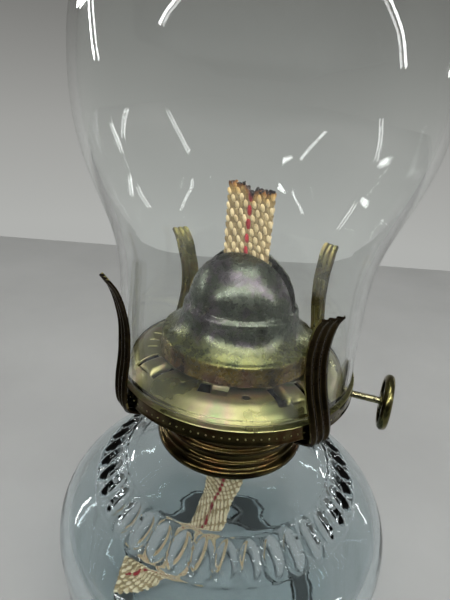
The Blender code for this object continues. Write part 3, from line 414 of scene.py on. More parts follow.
capSizes = {
    "steps": 144, "sheet": 0.55,
    # deck edge, two rolled rings and the hem, radius and height
    "side": [(19.2, 90.35), (20.0, 90.25), (20.55, 89.8), (20.75, 89.2), (20.7, 88.5), (20.7, 87.9), (21.0, 87.4),
             (21.45, 87.05), (21.7, 86.7), (21.7, 86.4), (21.4, 86.0), (20.9, 85.6), (20.68, 85.1), (20.66, 84.5),
             (20.75, 83.9), (21.05, 83.4), (21.5, 83.1), (21.72, 82.75), (21.6, 82.35), (21.2, 82.0), (21.05, 81.6),
             (21.2, 81.2)],
    "hem": [(21.2, 81.2), (21.6, 80.85), (22.15, 80.5), (22.55, 80.0), (22.7, 79.4), (22.6, 78.8), (22.25, 78.42),
            (21.8, 78.36)],
}


def rolledCap(sizes):
    bm = bmesh.new()
    skin = [Vector((0, 90.35)), Vector((17.0, 90.35))] + smoothLine(sizes["side"], 3) + smoothLine(sizes["hem"], 3)[1:]
    under = insideLine(skin, sizes["sheet"])
    under[0], under[1] = Vector((0, 89.8)), Vector((17.0, 89.8))
    spinOutline(bm, skin + under[::-1], sizes["steps"])
    # the cap's dark brown is partly painted reflection of the shaded room in front
    return finishPiece("screwCap", bm, [capAndShadedSkirtPlate], "burner", ["screw_cap"])


rolledCap(capSizes)

bowlSizes = {
    "steps": 192, "sheet": 0.55, "holes": 16, "holeRadius": 1.2, "holeSpot": (23.5, 93.65), "slope": (-14.15, -9.35),
    "side": [(33.15, 103.1), (33.15, 102.0), (33.0, 100.8), (32.3, 99.55), (30.9, 98.4), (27.6, 96.3), (23.6, 93.7),
             (21.2, 92.1), (19.2, 91.1), (17.4, 90.68), (15.0, 90.65), (11.9, 90.65)],
}


def bowlUnderPlate(sizes):
    bm = bmesh.new()
    spinOutline(bm, smoothLine(sizes["side"], 3), sizes["steps"])
    slope = Vector(sizes["slope"]).normalized()
    for k in range(sizes["holes"]):
        turn = aboutAxis(360 * (k + 0.25) / sizes["holes"])
        spot = turn @ Vector((sizes["holeSpot"][0] * mm, 0, sizes["holeSpot"][1] * mm))
        down = (turn @ Vector((slope.x, 0, slope.y)))
        side = turn @ Vector((0, 1, 0))
        rounds = [(down * math.cos(a) + side * math.sin(a)) for a in [math.radians(36 * i) for i in range(10)]]
        cutOpening(bm, [(spot + n * sizes["holeRadius"] * mm, n) for n in rounds], spot, 2.6 * mm)
    lowest = min(bm.faces, key=lambda f: abs(f.calc_center_median().z - 96 * mm))
    if lowest.normal.z > 0:
        bmesh.ops.reverse_faces(bm, faces=bm.faces)
    # the bowl under the gallery takes the darkened copy of the plating, painted shade
    return finishPiece("burnerBowl", bm, [paintedShadePlate], "burner", ["burner_bowl"], sheet=sizes["sheet"])


bowlUnderPlate(bowlSizes)

plateSizes = {
    "steps": 288, "sheet": 0.55, "flat": 108.15, "beads": 116, "beadDrop": 102.45, "beadRadius": 0.24,
    "face": [(17.0, 107.75), (17.15, 108.05), (17.6, 108.15), (19.0, 108.15), (22.0, 108.15), (24.4, 108.15),
             (25.8, 108.05), (27.2, 107.7), (28.6, 107.0), (29.8, 106.05), (30.6, 105.2), (31.0, 104.82)],
    "ledge": [(31.0, 104.82), (31.3, 104.66), (31.9, 104.6), (33.0, 104.6), (33.7, 104.66), (34.05, 104.64),
              (34.22, 104.45)],
    "skirt": [(34.22, 104.45), (34.24, 103.6), (34.22, 102.4), (34.24, 101.4), (34.36, 100.95), (34.38, 100.7),
              (34.26, 100.56), (33.95, 100.56)],
    # one row a window: its azimuth and slant, its two ends from the axis, its half width, the strip's middle and
    # half width, its lift, and how far it curls down on the right and on the left as seen from the axis outwards
    "windows": [(-131.0, 9.0, 22.0, 28.3, 4.7, 0.2, 3.1, 0.7, 0.7, 1.9), (-87.0, 3.0, 20.9, 25.1, 3.7, 1.5, 2.3, -1.3, 0.2, 0.2),
                (-41.5, -4.0, 21.4, 28.3, 4.7, 0.1, 2.9, 0.8, 1.9, 0.4), (48.5, 0.0, 21.4, 28.3, 4.7, 0.0, 2.9, 0.8, 0.6, 1.6),
                (93.0, 3.0, 20.9, 25.1, 3.7, 1.0, 2.3, -1.3, 0.2, 0.2), (139.0, 4.0, 22.0, 28.3, 4.7, 0.0, 3.0, 0.7, 1.6, 0.6)],
    "holes": [-104.0, -67.4, 76.0, 112.6], "holeRadius": 1.1, "holeSpot": 25.2, "burr": 0.16,
    "slits": [-172.5, -163.0, -153.5, 7.5, 17.0, 26.5], "slitHalf": (1.5, 0.3), "slitSpot": 24.6,
}


def plateHeight(radius, sizes):
    line = smoothLine(sizes["face"], 4)
    for a, b in zip(line, line[1:]):
        if a.x <= radius <= b.x:
            return a.y + (b.y - a.y) * (radius - a.x) / max(b.x - a.x, 1e-6)
    return sizes["flat"]


def galleryPlate(sizes):
    bm = bmesh.new()
    outline = smoothLine(sizes["face"], 3) + smoothLine(sizes["ledge"], 3)[1:] + smoothLine(sizes["skirt"], 3)[1:]
    spinOutline(bm, outline, sizes["steps"])
    flat = min(bm.faces, key=lambda f: abs(f.calc_center_median().xy.length - 22 * mm))
    if flat.normal.z < 0:
        bmesh.ops.reverse_faces(bm, faces=bm.faces)
    for angle, slant, inner, outer, half, _, _, _, _, _ in sizes["windows"]:
        spot = aboutAxis(angle) @ Vector(((inner + outer) / 2 * mm, 0, sizes["flat"] * mm))
        out, side = aboutAxis(angle + slant) @ Vector((1, 0, 0)), aboutAxis(angle + slant) @ Vector((0, 1, 0))
        long = (outer - inner) / 2 * mm
        planes = [(spot + out * long, out), (spot - out * long, -out), (spot + side * half * mm, side),
                  (spot - side * half * mm, -side)]
        cutOpening(bm, planes, spot, 9 * mm)
    for angle in sizes["holes"]:
        spot = aboutAxis(angle) @ Vector((sizes["holeSpot"] * mm, 0, sizes["flat"] * mm))
        rounds = [Vector((math.cos(a), math.sin(a), 0)) for a in [math.radians(30 * i) for i in range(12)]]
        cutOpening(bm, [(spot + n * sizes["holeRadius"] * mm, n) for n in rounds], spot, 2.4 * mm)
    for angle in sizes["slits"]:
        turn = aboutAxis(angle)
        spot = turn @ Vector((sizes["slitSpot"] * mm, 0, sizes["flat"] * mm))
        long, wide = sizes["slitHalf"]
        out, side = turn @ Vector((1, 0, 0)), turn @ Vector((0, 1, 0))
        planes = [(spot + out * long * mm, out), (spot - out * long * mm, -out), (spot + side * wide * mm, side),
                  (spot - side * wide * mm, -side)]
        cutOpening(bm, planes, spot, 3.2 * mm)
    for angle, slant, inner, outer, _, middle, half, lift, curlRight, curlLeft in sizes["windows"]:
        made = bmesh.ops.create_grid(bm, x_segments=14, y_segments=20, size=1.0)
        for vert in made["verts"]:
            along, across = (vert.co.x + 1) / 2, vert.co.y
            curl = curlRight * max(0.0, (-across - 0.45) / 0.55) ** 2 + curlLeft * max(0.0, (across - 0.45) / 0.55) ** 2
            bow = min(1.0, math.sin(math.pi * along) * 2.2)
            radius = inner - 0.15 + (outer - inner + 0.3) * along
            vert.co = Vector(((radius - (inner + outer) / 2) * mm, (across * (1 - 0.05 * curl) * half + middle) * mm,
                              (plateHeight(radius, sizes) + (lift - curl) * bow) * mm))
        move = aboutAxis(angle) @ Matrix.Translation(((inner + outer) / 2 * mm, 0, 0)) @ aboutAxis(slant)
        bmesh.ops.transform(bm, matrix=move, verts=made["verts"])
        faces = list({f for v in made["verts"] for f in v.link_faces})
        bm.normal_update()
        if sum(f.normal.z for f in faces) < 0:
            bmesh.ops.reverse_faces(bm, faces=faces)
    # the skirt's outer wall takes the dark brown material, painted shade on the gallery's own plated sheet
    for face in bm.faces:
        spot = face.calc_center_median()
        if spot.z < 104.4 * mm and spot.xy.length > 33.9 * mm:
            face.material_index = 1
    plate = finishPiece("galleryPlate", bm, [yellowPlate, capAndShadedSkirtPlate], "burner", ["gallery_plate"],
                        sheet=sizes["sheet"], smooth=45)
    bm = bmesh.new()
    for k in range(sizes["beads"]):
        spot = Matrix.Translation((34.2 * mm, 0, sizes["beadDrop"] * mm))
        size = Matrix.Diagonal((0.62, 1, 1, 1))
        bmesh.ops.create_uvsphere(bm, u_segments=8, v_segments=6, radius=sizes["beadRadius"] * mm,
                                  matrix=aboutAxis(360 * k / sizes["beads"]) @ spot @ size)
    finishPiece("skirtBeads", bm, [yellowPlate], "burner", smooth=80)
    bm = bmesh.new()
    reach, burr = sizes["holeRadius"] + 0.02, sizes["burr"]
    ring = [Vector((reach + burr * math.cos(a), burr * math.sin(a))) for a in [math.radians(45 * i) for i in range(8)]]
    for angle in sizes["holes"]:
        lip = bmesh.new()
        spinOutline(lip, ring, 40, closed=True)
        place = aboutAxis(angle) @ Matrix.Translation((sizes["holeSpot"] * mm, 0, (sizes["flat"] - 0.02) * mm))
        bmesh.ops.transform(lip, matrix=place, verts=lip.verts)
        part = bpy.data.meshes.new("lip")
        lip.to_mesh(part)
        lip.free()
        bm.from_mesh(part)
        bpy.data.meshes.remove(part)
    finishPiece("holeBurrs", bm, [yellowPlate], "burner", smooth=80)
    return plate


galleryPlate(plateSizes)


def bellDome(sizes):
    bm = bmesh.new()
    outline = smoothLine(sizes["bell"], 3) + smoothLine(sizes["crease"], 2)[1:]
    outline += smoothLine(sizes["flare"], 3)[1:] + smoothLine(sizes["skirt"], 3)[1:]
    spinOutline(bm, outline, sizes["steps"])
    top = max(bm.faces, key=lambda f: f.calc_center_median().z)
    if top.normal.z < 0:
        bmesh.ops.reverse_faces(bm, faces=bm.faces)
    half, foot, reach = sizes["slotHalf"], sizes["slotFoot"], sizes["slotReach"]
    across = [(Vector((0, half * mm, 0)), Vector((0, 1, 0))), (Vector((0, -half * mm, 0)), Vector((0, -1, 0)))]
    corners = [(Vector((0, side * (half - 0.9) * mm, foot * mm)), Vector((0, side * 0.75, -1)).normalized())
               for side in (1, -1)]
    below = [(Vector((0, 0, foot * mm)), Vector((0, 0, -1)))]
    cutOpening(bm, across + below + corners, Vector((0, 0, 130 * mm)), 18 * mm)
    dome = finishPiece("heatedDome", bm, [heatPlate], "burner", ["dome"], sheet=sizes["sheet"])
    bm = bmesh.new()
    for k in range(sizes["feet"]):
        spot = aboutAxis(90 * k + 45) @ Matrix.Translation((21.6 * mm, 0, 109.3 * mm))
        bmesh.ops.create_cube(bm, size=1, matrix=spot @ Matrix.Diagonal((0.5 * mm, 3 * mm, 1.7 * mm, 1)))
    bmesh.ops.bevel(bm, geom=bm.edges[:], offset=0.12 * mm, segments=2, profile=0.5, affect="EDGES", material=-1)
    finishPiece("domeFeet", bm, [heatPlate], "burner")
    return dome


bellDome(domeSizes)

tubeSizes = {"length": 14.5, "depth": 4.0, "low": 74.8, "high": 135.65, "sheet": 0.5, "spurX": 3.5, "spurZ": 97.85}


def wickTube(sizes):
    bm = bmesh.new()
    made = bmesh.ops.create_circle(bm, cap_ends=False, segments=40, radius=sizes["depth"] / 2 * mm)
    straight = (sizes["length"] - sizes["depth"]) / 2 * mm
    for vert in made["verts"]:
        vert.co.x += straight if vert.co.x > 1e-7 else -straight if vert.co.x < -1e-7 else 0
        vert.co.z = sizes["low"] * mm
    ring = bm.edges[:]
    for _ in range(24):
        grown = bmesh.ops.extrude_edge_only(bm, edges=ring)["geom"]
        risen = {g for g in grown if isinstance(g, bmesh.types.BMVert)}
        ring = [g for g in grown if isinstance(g, bmesh.types.BMEdge) and set(g.verts) <= risen]
        bmesh.ops.translate(bm, vec=(0, 0, (sizes["high"] - sizes["low"]) / 24 * mm), verts=list(risen))
    bmesh.ops.recalc_face_normals(bm, faces=bm.faces)
    front = min(bm.faces, key=lambda f: f.calc_center_median().y)
    if front.normal.y > 0:
        bmesh.ops.reverse_faces(bm, faces=bm.faces)
    for side in (1, -1):
        spot = Vector((side * sizes["spurX"] * mm, sizes["depth"] / 2 * mm, sizes["spurZ"] * mm))
        planes = [(spot + Vector((0.6 * mm, 0, 0)), Vector((1, 0, 0))), (spot - Vector((0.6 * mm, 0, 0)), Vector((-1, 0, 0))),
                  (spot + Vector((0, 0, 3.2 * mm)), Vector((0, 0, 1))), (spot - Vector((0, 0, 3.2 * mm)), Vector((0, 0, -1)))]
        cutOpening(bm, planes, spot, 3.6 * mm)
    return finishPiece("wickTube", bm, [zincPlate], "burner", ["wick_tube"], sheet=sizes["sheet"])


wickTube(tubeSizes)

winderSizes = {
    "y": 5.45, "z": 97.85, "shaftRadius": 1.0, "shaftStart": -7.0, "shaftEnd": 42.9,
    # the knob's face, its rolled edge and its hub, distance from the shaft and along it
    "knobFace": [(0.0, 43.85), (1.6, 43.85), (3.4, 43.88), (4.8, 44.15), (5.9, 44.75), (6.6, 45.12), (7.2, 45.15),
                 (7.75, 44.75), (8.0, 44.0), (7.85, 43.3), (7.3, 42.75), (6.8, 42.55), (6.35, 42.75)],
    "knobSheet": 0.7, "hub": [(2.25, 43.1), (2.3, 42.6), (2.15, 42.3), (1.9, 42.2), (1.3, 42.2), (1.15, 42.35)],
    "steps": 96,
}


def alongShaft(bm, sizes):
    # a shape turned about Z, laid over so that its height runs along the shaft
    turn = Matrix.Translation((0, sizes["y"] * mm, sizes["z"] * mm)) @ Matrix.Rotation(math.radians(90), 4, "Y")
    bmesh.ops.transform(bm, matrix=turn, verts=bm.verts)


def windingKnob(sizes):
    bm = bmesh.new()
    radius, start, end = sizes["shaftRadius"], sizes["shaftStart"], sizes["shaftEnd"]
    rod = [(0.0, start), (radius - 0.2, start), (radius, start + 0.2), (radius, end - 1.0), (radius, end), (0.0, end)]
    spinOutline(bm, [Vector(p) for p in rod], 40)
    alongShaft(bm, sizes)
    finishPiece("winderShaft", bm, [zincPlate], "winder", ["winder_shaft"])
    bm = bmesh.new()
    face = smoothLine(sizes["knobFace"], 4)
    back = insideLine(face, sizes["knobSheet"])
    back = [p for p in back if p.x > sizes["hub"][0][0] + 0.1]
    outline = face + back[::-1] + smoothLine(sizes["hub"], 3) + [Vector((1.15, 43.05)), Vector((0, 43.05))]
    spinOutline(bm, outline, sizes["steps"])
    alongShaft(bm, sizes)
    finishPiece("winderKnob", bm, [knobPlate], "winder", ["winder_knob"])


windingKnob(winderSizes)

turnedSizes = {
    # outlines from the CAD's own sizes with the edges broken, radius and height
    "gasket": [(18.6, 89.3), (18.6, 88.5), (18.4, 88.3), (13.8, 88.3), (13.6, 88.5), (13.6, 89.3), (13.8, 89.5),
               (18.4, 89.5)],
    "vent": [(1.4, 93.25), (1.4, 83.9), (1.3, 83.8), (1.0, 83.8), (1.0, 93.35), (1.3, 93.35)],
    "bushing": [(2.4, 34.0), (2.25, 34.15), (1.3, 34.15), (1.3, 28.5), (1.7, 28.5), (1.8, 28.7), (1.8, 33.45),
                (2.4, 33.45)],
}


def turnedPieces(sizes):
    bm = bmesh.new()
    spinOutline(bm, sizes["gasket"], 128, closed=True)
    finishPiece("neckGasket", bm, [rubberMat], "gasket", ["neck_gasket"])
    bm = bmesh.new()
    spinOutline(bm, sizes["vent"], 40, closed=True)
    bmesh.ops.translate(bm, vec=(0, -10 * mm, 0), verts=bm.verts)
    finishPiece("ventTube", bm, [zincPlate], "burner", ["vent_tube"])
    bm = bmesh.new()
    spinOutline(bm, sizes["bushing"], 48, closed=True)
    alongShaft(bm, winderSizes)
    finishPiece("shaftBushing", bm, [zincPlate], "burner", ["shaft_bushing"])


turnedPieces(turnedSizes)
for nodeName in ("ratchet_box", "spur_outer", "spur_inner"):
    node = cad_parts[nodeName]
    node.data.materials.clear()
    node.data.materials.append(zincPlate)

prongSizes = {
    # azimuth of each foot, then how far its tip leans and its middle sways round the axis in degrees, and how far
    # the tip stands in or out
    "places": {"back_right": (53.0, 3.5, 0.0, -0.2), "back_left": (143.0, 0.5, -4.5, 0.6),
               "front_left": (233.0, -4.0, 0.0, 0.0), "front_right": (323.0, -7.0, -1.5, -1.0)},
    "width": 6.4, "sheet": 0.5, "wave": 0.3, "ribs": 3, "steps": 60, "scallop": 0.6,
    # middle of the strip's inner side, radius and height, from the tip down to the end of the foot
    "route": [(37.9, 134.3), (36.6, 132.4), (35.6, 130.0), (34.7, 126.6), (34.0, 121.5), (34.3, 114.0), (35.3, 107.5),
              (35.6, 102.5), (34.9, 99.4), (33.0, 98.1), (29.35, 96.2), (25.6, 93.75)],
}


def prongStrip(sizes, name, angle, lean, sway, stand):
    bm = bmesh.new()
    count = sizes["ribs"] * 8
    half, sheet, wave = sizes["width"] / 2, sizes["sheet"], sizes["wave"]
    across = [(i / count * 2 - 1) for i in range(count + 1)]
    crest = [wave * (1 + math.cos(math.pi * sizes["ribs"] * (a + 1) - math.pi)) for a in across]
    section = [Vector((c, a * half)) for a, c in zip(across, crest)]
    section += [Vector((c + sheet, a * half)) for a, c in list(zip(across, crest))[::-1]]
    route = smoothLine(sizes["route"], sizes["steps"] // (len(sizes["route"]) - 1) + 1)
    loop = [bm.verts.new((0, 0, 0)) for _ in section]
    edges = [bm.edges.new((loop[i], loop[(i + 1) % len(loop)])) for i in range(len(loop))]

    def placeRing(ring, k):
        run = (route[min(k + 1, len(route) - 1)] - route[max(k - 1, 0)]).normalized()
        out = Vector((-run.y, run.x))
        share = k / (len(route) - 1)
        narrow = 1 - 0.10 * max(0, (share - 0.6) / 0.4) - 0.03 * (1 - min(1, share * 8))
        for vert, (depth, wide) in zip(ring, section):
            lobe = sizes["scallop"] * abs(math.cos(math.pi * sizes["ribs"] * (wide / half + 1) / 2 - math.pi / 2))
            tip = max(0.0, 1 - k / 3) * lobe
            spot = route[k] + out * depth - run * tip
            rise = max(0.0, (spot.y - 101) / 34)
            vert.co = Vector(((spot.x + stand * rise) * mm, wide * narrow * mm, spot.y * mm))
            vert.co.rotate(aboutAxis(lean * rise + sway * math.sin(math.pi * min(1.0, rise))))

    placeRing(loop, 0)
    bmesh.ops.contextual_create(bm, geom=edges)
    for k in range(1, len(route)):
        grown = bmesh.ops.extrude_edge_only(bm, edges=edges)["geom"]
        verts = {v for v in grown if isinstance(v, bmesh.types.BMVert)}
        edges = [e for e in grown if isinstance(e, bmesh.types.BMEdge) and e.verts[0] in verts and e.verts[1] in verts]
        old = loop
        loop = [next(e.other_vert(v) for e in v.link_edges if e.other_vert(v) in verts) for v in old]
        placeRing(loop, k)
    bmesh.ops.contextual_create(bm, geom=edges)
    bmesh.ops.recalc_face_normals(bm, faces=bm.faces)
    # the inner side gets the gold plating; the outer side keeps the darker copy of it, painted shade
    for face in bm.faces:
        if face.normal.x < 0 and face.calc_center_median().z > 100 * mm:
            face.material_index = 1
    bmesh.ops.transform(bm, matrix=aboutAxis(angle), verts=bm.verts)
    return finishPiece("prong_" + name, bm, [paintedShadePlate, goldPlate], "burner", ["prong_" + name], smooth=50)


rivetSizes = {"spot": (27.2, 96.07), "out": (0.551, -0.834), "head": 1.6, "shank": 0.9, "rise": 0.75, "under": -0.85}


def prongRivet(sizes, name, angle):
    bm = bmesh.new()
    top, head = sizes["rise"] + 0.75, sizes["head"]
    outline = [(0, top), (head * 0.45, top - 0.04), (head * 0.8, top - 0.22), (head, top - 0.55), (head, top - 0.68),
               (sizes["shank"], top - 0.7), (sizes["shank"], sizes["under"] + 0.1), (head * 0.9, sizes["under"]),
               (head * 0.8, sizes["under"] - 0.35), (0, sizes["under"] - 0.5)]
    spinOutline(bm, [Vector(p) for p in outline], 32)
    out = Vector((sizes["out"][0], 0, sizes["out"][1]))
    turn = Vector((0, 0, 1)).rotation_difference(out).to_matrix().to_4x4()
    spot = Matrix.Translation((sizes["spot"][0] * mm, 0, sizes["spot"][1] * mm))
    bmesh.ops.transform(bm, matrix=aboutAxis(angle) @ spot @ turn, verts=bm.verts)
    return finishPiece("rivet_" + name, bm, [zincPlate], "burner", ["rivet_" + name])


for prongName, prongPlace in prongSizes["places"].items():
    prongStrip(prongSizes, prongName, *prongPlace)
    prongRivet(rivetSizes, prongName, prongPlace[0])

wickSizes = {
    "width": 12.7, "thickness": 2.2, "core": 1.3, "columns": 11, "rowPitch": 3.5, "stitch": (0.58, 0.46, 1.06),
    "filler": (0.50, 0.30, 1.0), "tracer": (0.66, 0.52, 1.5), "lean": -17.0, "notch": 0.9, "step": 1.0,
}


class WickRun:
    # a flat strip's course: points along it in millimetres, and how far it has turned about its own length
    def __init__(self, knots, twist, perSpan=10):
        self.points = smoothLine(knots, perSpan)
        self.lengths = [0.0]
        for a, b in zip(self.points, self.points[1:]):
            self.lengths.append(self.lengths[-1] + (b - a).length)
        self.twist = twist
        self.length = self.lengths[-1]

    def place(self, across, out, along):
        along = min(max(along, 0.0), self.length - 1e-6)
        k = next(i for i, reach in enumerate(self.lengths) if reach > along) - 1
        t = (along - self.lengths[k]) / (self.lengths[k + 1] - self.lengths[k])
        spot = self.points[k].lerp(self.points[k + 1], t)
        before = (self.points[k + 1] - self.points[max(k - 1, 0)]).normalized()
        after = (self.points[min(k + 2, len(self.points) - 1)] - self.points[k]).normalized()
        run = before.lerp(after, t).normalized()
        angle = math.radians(self.twist(along / self.length))
        level = Vector((math.cos(angle), -math.sin(angle), 0))
        front = run.cross(level).normalized()
        wide = front.cross(run).normalized()
        return (spot + wide * across + front * out) * mm


def burntAway(across, sizes):
    # how far the flame has eaten the end down, in millimetres: least at the left, most near the middle
    share = min(1.0, max(0.0, (across + 2.2) / 1.4))
    return (0.35 + 0.4 * noise.noise(Vector((across * 1.1, 3.0, 0))) + sizes["step"] * share * share * (3 - 2 * share)
            + sizes["notch"] * math.exp(-((across - 0.3) / 0.8) ** 2))


def markHeight(bm):
    # each vertex keeps its height at rest, raised where the flame ate deepest, so that the burn moves with the yarn
    layer = bm.verts.layers.float.new("burnHeight")
    for vert in bm.verts:
        vert[layer] = vert.co.z + 1.6 * mm * burntAway(vert.co.x / mm, wickSizes)


def wovenStrip(name, run, sizes, materials, startAt, charred=False, seed=3):
    # the cloth's body: a thin capsule section drawn out along the run
    bm = bmesh.new()
    made = bmesh.ops.create_circle(bm, cap_ends=True, segments=16, radius=sizes["core"] / 2)
    for vert in made["verts"]:
        vert.co.x += math.copysign((sizes["width"] - 0.7 - sizes["core"]) / 2, vert.co.x + 1e-6)
    for k in range(-10, 11):
        bmesh.ops.bisect_plane(bm, geom=bm.verts[:] + bm.edges[:] + bm.faces[:], dist=0.001, plane_co=(k * 0.52, 0, 0),
                               plane_no=(1, 0, 0))
    cuts = max(4, int(run.length / 1.2))
    faces = bm.faces[:]
    for k in range(cuts):
        grown = bmesh.ops.extrude_face_region(bm, geom=faces)["geom"]
        if k:
            bmesh.ops.delete(bm, geom=faces, context="FACES_ONLY")
        faces = [g for g in grown if isinstance(g, bmesh.types.BMFace)]
        bmesh.ops.translate(bm, vec=(0, 0, run.length / cuts), verts=list({v for f in faces for v in f.verts}))
    for vert in bm.verts:
        drop = vert.co.z
        if charred:
            drop += (burntAway(vert.co.x, sizes) + 0.3) * max(0.0, 1 - drop / 8)
        vert.co = run.place(vert.co.x, vert.co.y, drop)
    bmesh.ops.recalc_face_normals(bm, faces=bm.faces)
    markHeight(bm)
    # the body takes the darker weft material, painted shade in the gaps between the stitches
    cloth = finishPiece(name + "Cloth", bm, [materials[2]], smooth=60)
    # the warp stitches that stand out from it, in eleven columns with a red tracer down the middle
    bm = bmesh.new()
    chance = random.Random(seed)
    middle = sizes["columns"] // 2
    pitch = sizes["width"] / sizes["columns"]
    for face in (1, -1):
        for column in range(sizes["columns"]):
            offset = column - middle
            thread = bmesh.new()
            for row in range(-1, int(run.length / sizes["rowPitch"]) + 2):
                for filler in (False, True):
                    shift = 0.0 if offset == 0 else 0.5 * (offset % 2) + 0.07 * abs(offset)
                    along = (row + shift + (0.5 if filler else 0)) * sizes["rowPitch"] - startAt % sizes["rowPitch"]
                    along += chance.uniform(-0.12, 0.12)
                    across = offset * pitch + chance.uniform(-0.06, 0.06)
                    size = sizes["tracer"] if offset == 0 else sizes["stitch"]
                    if filler:
                        size = sizes["filler"]
                    top = burntAway(across, sizes) if charred else 0.25
                    if not top + size[2] * 0.45 < along < run.length - size[2] * 0.6:
                        continue
                    depth = sizes["thickness"] / 2 - size[1] - (0.22 if filler else 0)
                    edge = abs(offset) / middle
                    depth -= 0.20 * max(0, edge - 0.7) / 0.3
                    lean = math.radians(-sizes["lean"] + chance.uniform(-5, 5)) * face * (0.3 if offset == 0 else 1)
                    spot = Matrix.Translation((across, face * depth, along))
                    shape = Matrix.Diagonal((*[s * chance.uniform(0.94, 1.05) for s in size], 1))
                    ball = bmesh.ops.create_uvsphere(thread, u_segments=8, v_segments=5, radius=1,
                                                     matrix=spot @ Matrix.Rotation(lean, 4, "Y") @ shape)
                    # fillers take the darker weft material, painted shade between the stitches
                    if offset == 0 or filler:
                        for side in {f for v in ball["verts"] for f in v.link_faces}:
                            side.material_index = 2 if filler else 1
            yarn = bpy.data.meshes.new("thread")
            thread.to_mesh(yarn)
            thread.free()
            bm.from_mesh(yarn)
            bpy.data.meshes.remove(yarn)
    for vert in bm.verts:
        vert.co = run.place(*vert.co)
    bmesh.ops.recalc_face_normals(bm, faces=bm.faces)
    markHeight(bm)
    stitches = finishPiece(name + "Stitches", bm, materials, smooth=180)
    return cloth, stitches


def straight(share):
    return 0.0


wickTop = 155.35
wickRun = WickRun([(0, 0, wickTop), (0, 0, 128), (0, 0, 102), (0, 0, 76)], straight)
neckRun = WickRun([(0, 0, 76), (0, 0, 72), (0, 0, 68), (0, 0, 64)], straight)
tailSizes = {
    "side": 28.0, "front": 13.5, "rest": 8.6, "turn": 62.0,
    "left": [0, 0.02, 0.13, 0.36, 0.66, 0.93, 1.2], "toFront": [0, 0.02, 0.10, 0.34, 0.70, 0.95, 1.12],
    "drop": [0, 0.20, 0.46, 0.70, 0.89, 0.985, 1],
}
tailRun = WickRun([(-tailSizes["side"] * x, -tailSizes["front"] * y, 64 - (64 - tailSizes["rest"]) * z)
                   for x, y, z in zip(tailSizes["left"], tailSizes["toFront"], tailSizes["drop"])],
                  lambda share: tailSizes["turn"] * min(1.0, share * 1.6))

wickCloth, wickStitches = wovenStrip("wick", wickRun, wickSizes, [wickYarn, wickTracer, wickWeftInShade], 0.0, charred=True)
neckCloth, neckStitches = wovenStrip("neckWick", neckRun, wickSizes, [tailYarn, tailTracer, tailWeftInShade], wickTop - 76, seed=5)
tailCloth, tailStitches = wovenStrip("tail", tailRun, wickSizes, [tailYarn, tailTracer, tailWeftInShade], wickTop - 64, seed=7)


def charCrumbs(sizes):
    # the brittle black edge that the flame leaves
    bm = bmesh.new()
    chance = random.Random(11)
    for _ in range(170):
        across = chance.uniform(-6.05, 6.05)
        size = chance.uniform(0.16, 0.4) * (1.0 if across > -2 else 0.55)
        height = wickTop - burntAway(across, sizes) - chance.uniform(0, 0.8 if across > -2 else 0.3) - size * 0.6
        spot = Matrix.Translation((across * mm, chance.uniform(-0.8, 0.8) * mm, height * mm))
        shape = Matrix.Diagonal((size * mm, size * 0.8 * mm, size * chance.uniform(0.7, 1.2) * mm, 1))
        bmesh.ops.create_icosphere(bm, subdivisions=2, radius=1, matrix=spot @ shape)
    for vert in bm.verts:
        vert.co += vert.normal * 0.09 * mm * noise.noise(vert.co / (0.35 * mm))
    return finishPiece("wickChar", bm, [charYarn], "wick", smooth=30)


wickChar = charCrumbs(wickSizes)
for soft in (wickCloth, wickStitches):
    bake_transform(soft)
for soft in (neckCloth, neckStitches):
    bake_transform(soft)
for soft in (tailCloth, tailStitches):
    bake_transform(soft)
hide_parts("wick")
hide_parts("wick_tail")
print("wick woven, tail length", round(tailRun.length, 1), "mm")

chimneySizes = {
    "steps": 224, "wall": 2.0, "wobble": 0.07,
    # outside, radius and height above the gallery's rim, from the foot up
    "outside": [(33.2, 1.25), (33.35, 1.7), (33.3, 4.0), (33.2, 10.0), (33.15, 18.0), (33.15, 25.0), (33.35, 30.5),
                (34.0, 35.5), (35.3, 40.5), (37.1, 45.5), (39.0, 50.5), (40.7, 55.5), (42.0, 60.5), (42.8, 65.5),
                (43.1, 71.0), (43.0, 77.0), (42.2, 84.5), (39.7, 95.0), (35.2, 110.0), (30.2, 130.0), (26.5, 150.0),
                (23.6, 175.0), (22.3, 200.0), (22.0, 212.5), (22.1, 215.2), (22.45, 216.2), (22.5, 216.7)],
    "rim": 103.95,
}


def blownChimney(sizes):
    bm = bmesh.new()
    outer = [Vector((p.x, p.y + sizes["rim"])) for p in smoothLine(sizes["outside"], 4)]
    inner = insideLine(outer, -sizes["wall"])
    foot = [Vector((31.6, 105.05)), Vector((32.8, 105.05))]
    top = [Vector((22.1, 321.0)), Vector((21.5, 321.05)), Vector((20.9, 321.0))]
    inner[-1].y = inner[-2].y + 0.4
    spinOutline(bm, foot + outer + top + inner[::-1], sizes["steps"], closed=True)
    for vert in bm.verts:
        away = Vector((vert.co.x, vert.co.y, 0)).normalized()
        vert.co += away * sizes["wobble"] * mm * noise.noise(vert.co / (28 * mm)) * min(1, max(0, (vert.co.z - 0.13) / 0.02))
    return finishPiece("blownChimney", bm, [chimneyGlassMat], "chimney", ["chimney"], smooth=60)


blownChimney(chimneySizes)

stageSizes = {
    # the board's far edge runs through these two points, and it reaches this far to each side and to the front
    "farEdge": [(-0.411, 0.323), (0.136, 0.496)], "reach": 1.6, "floorColour": "#a6a7a5", "floorShade": "#9fa09e",
}


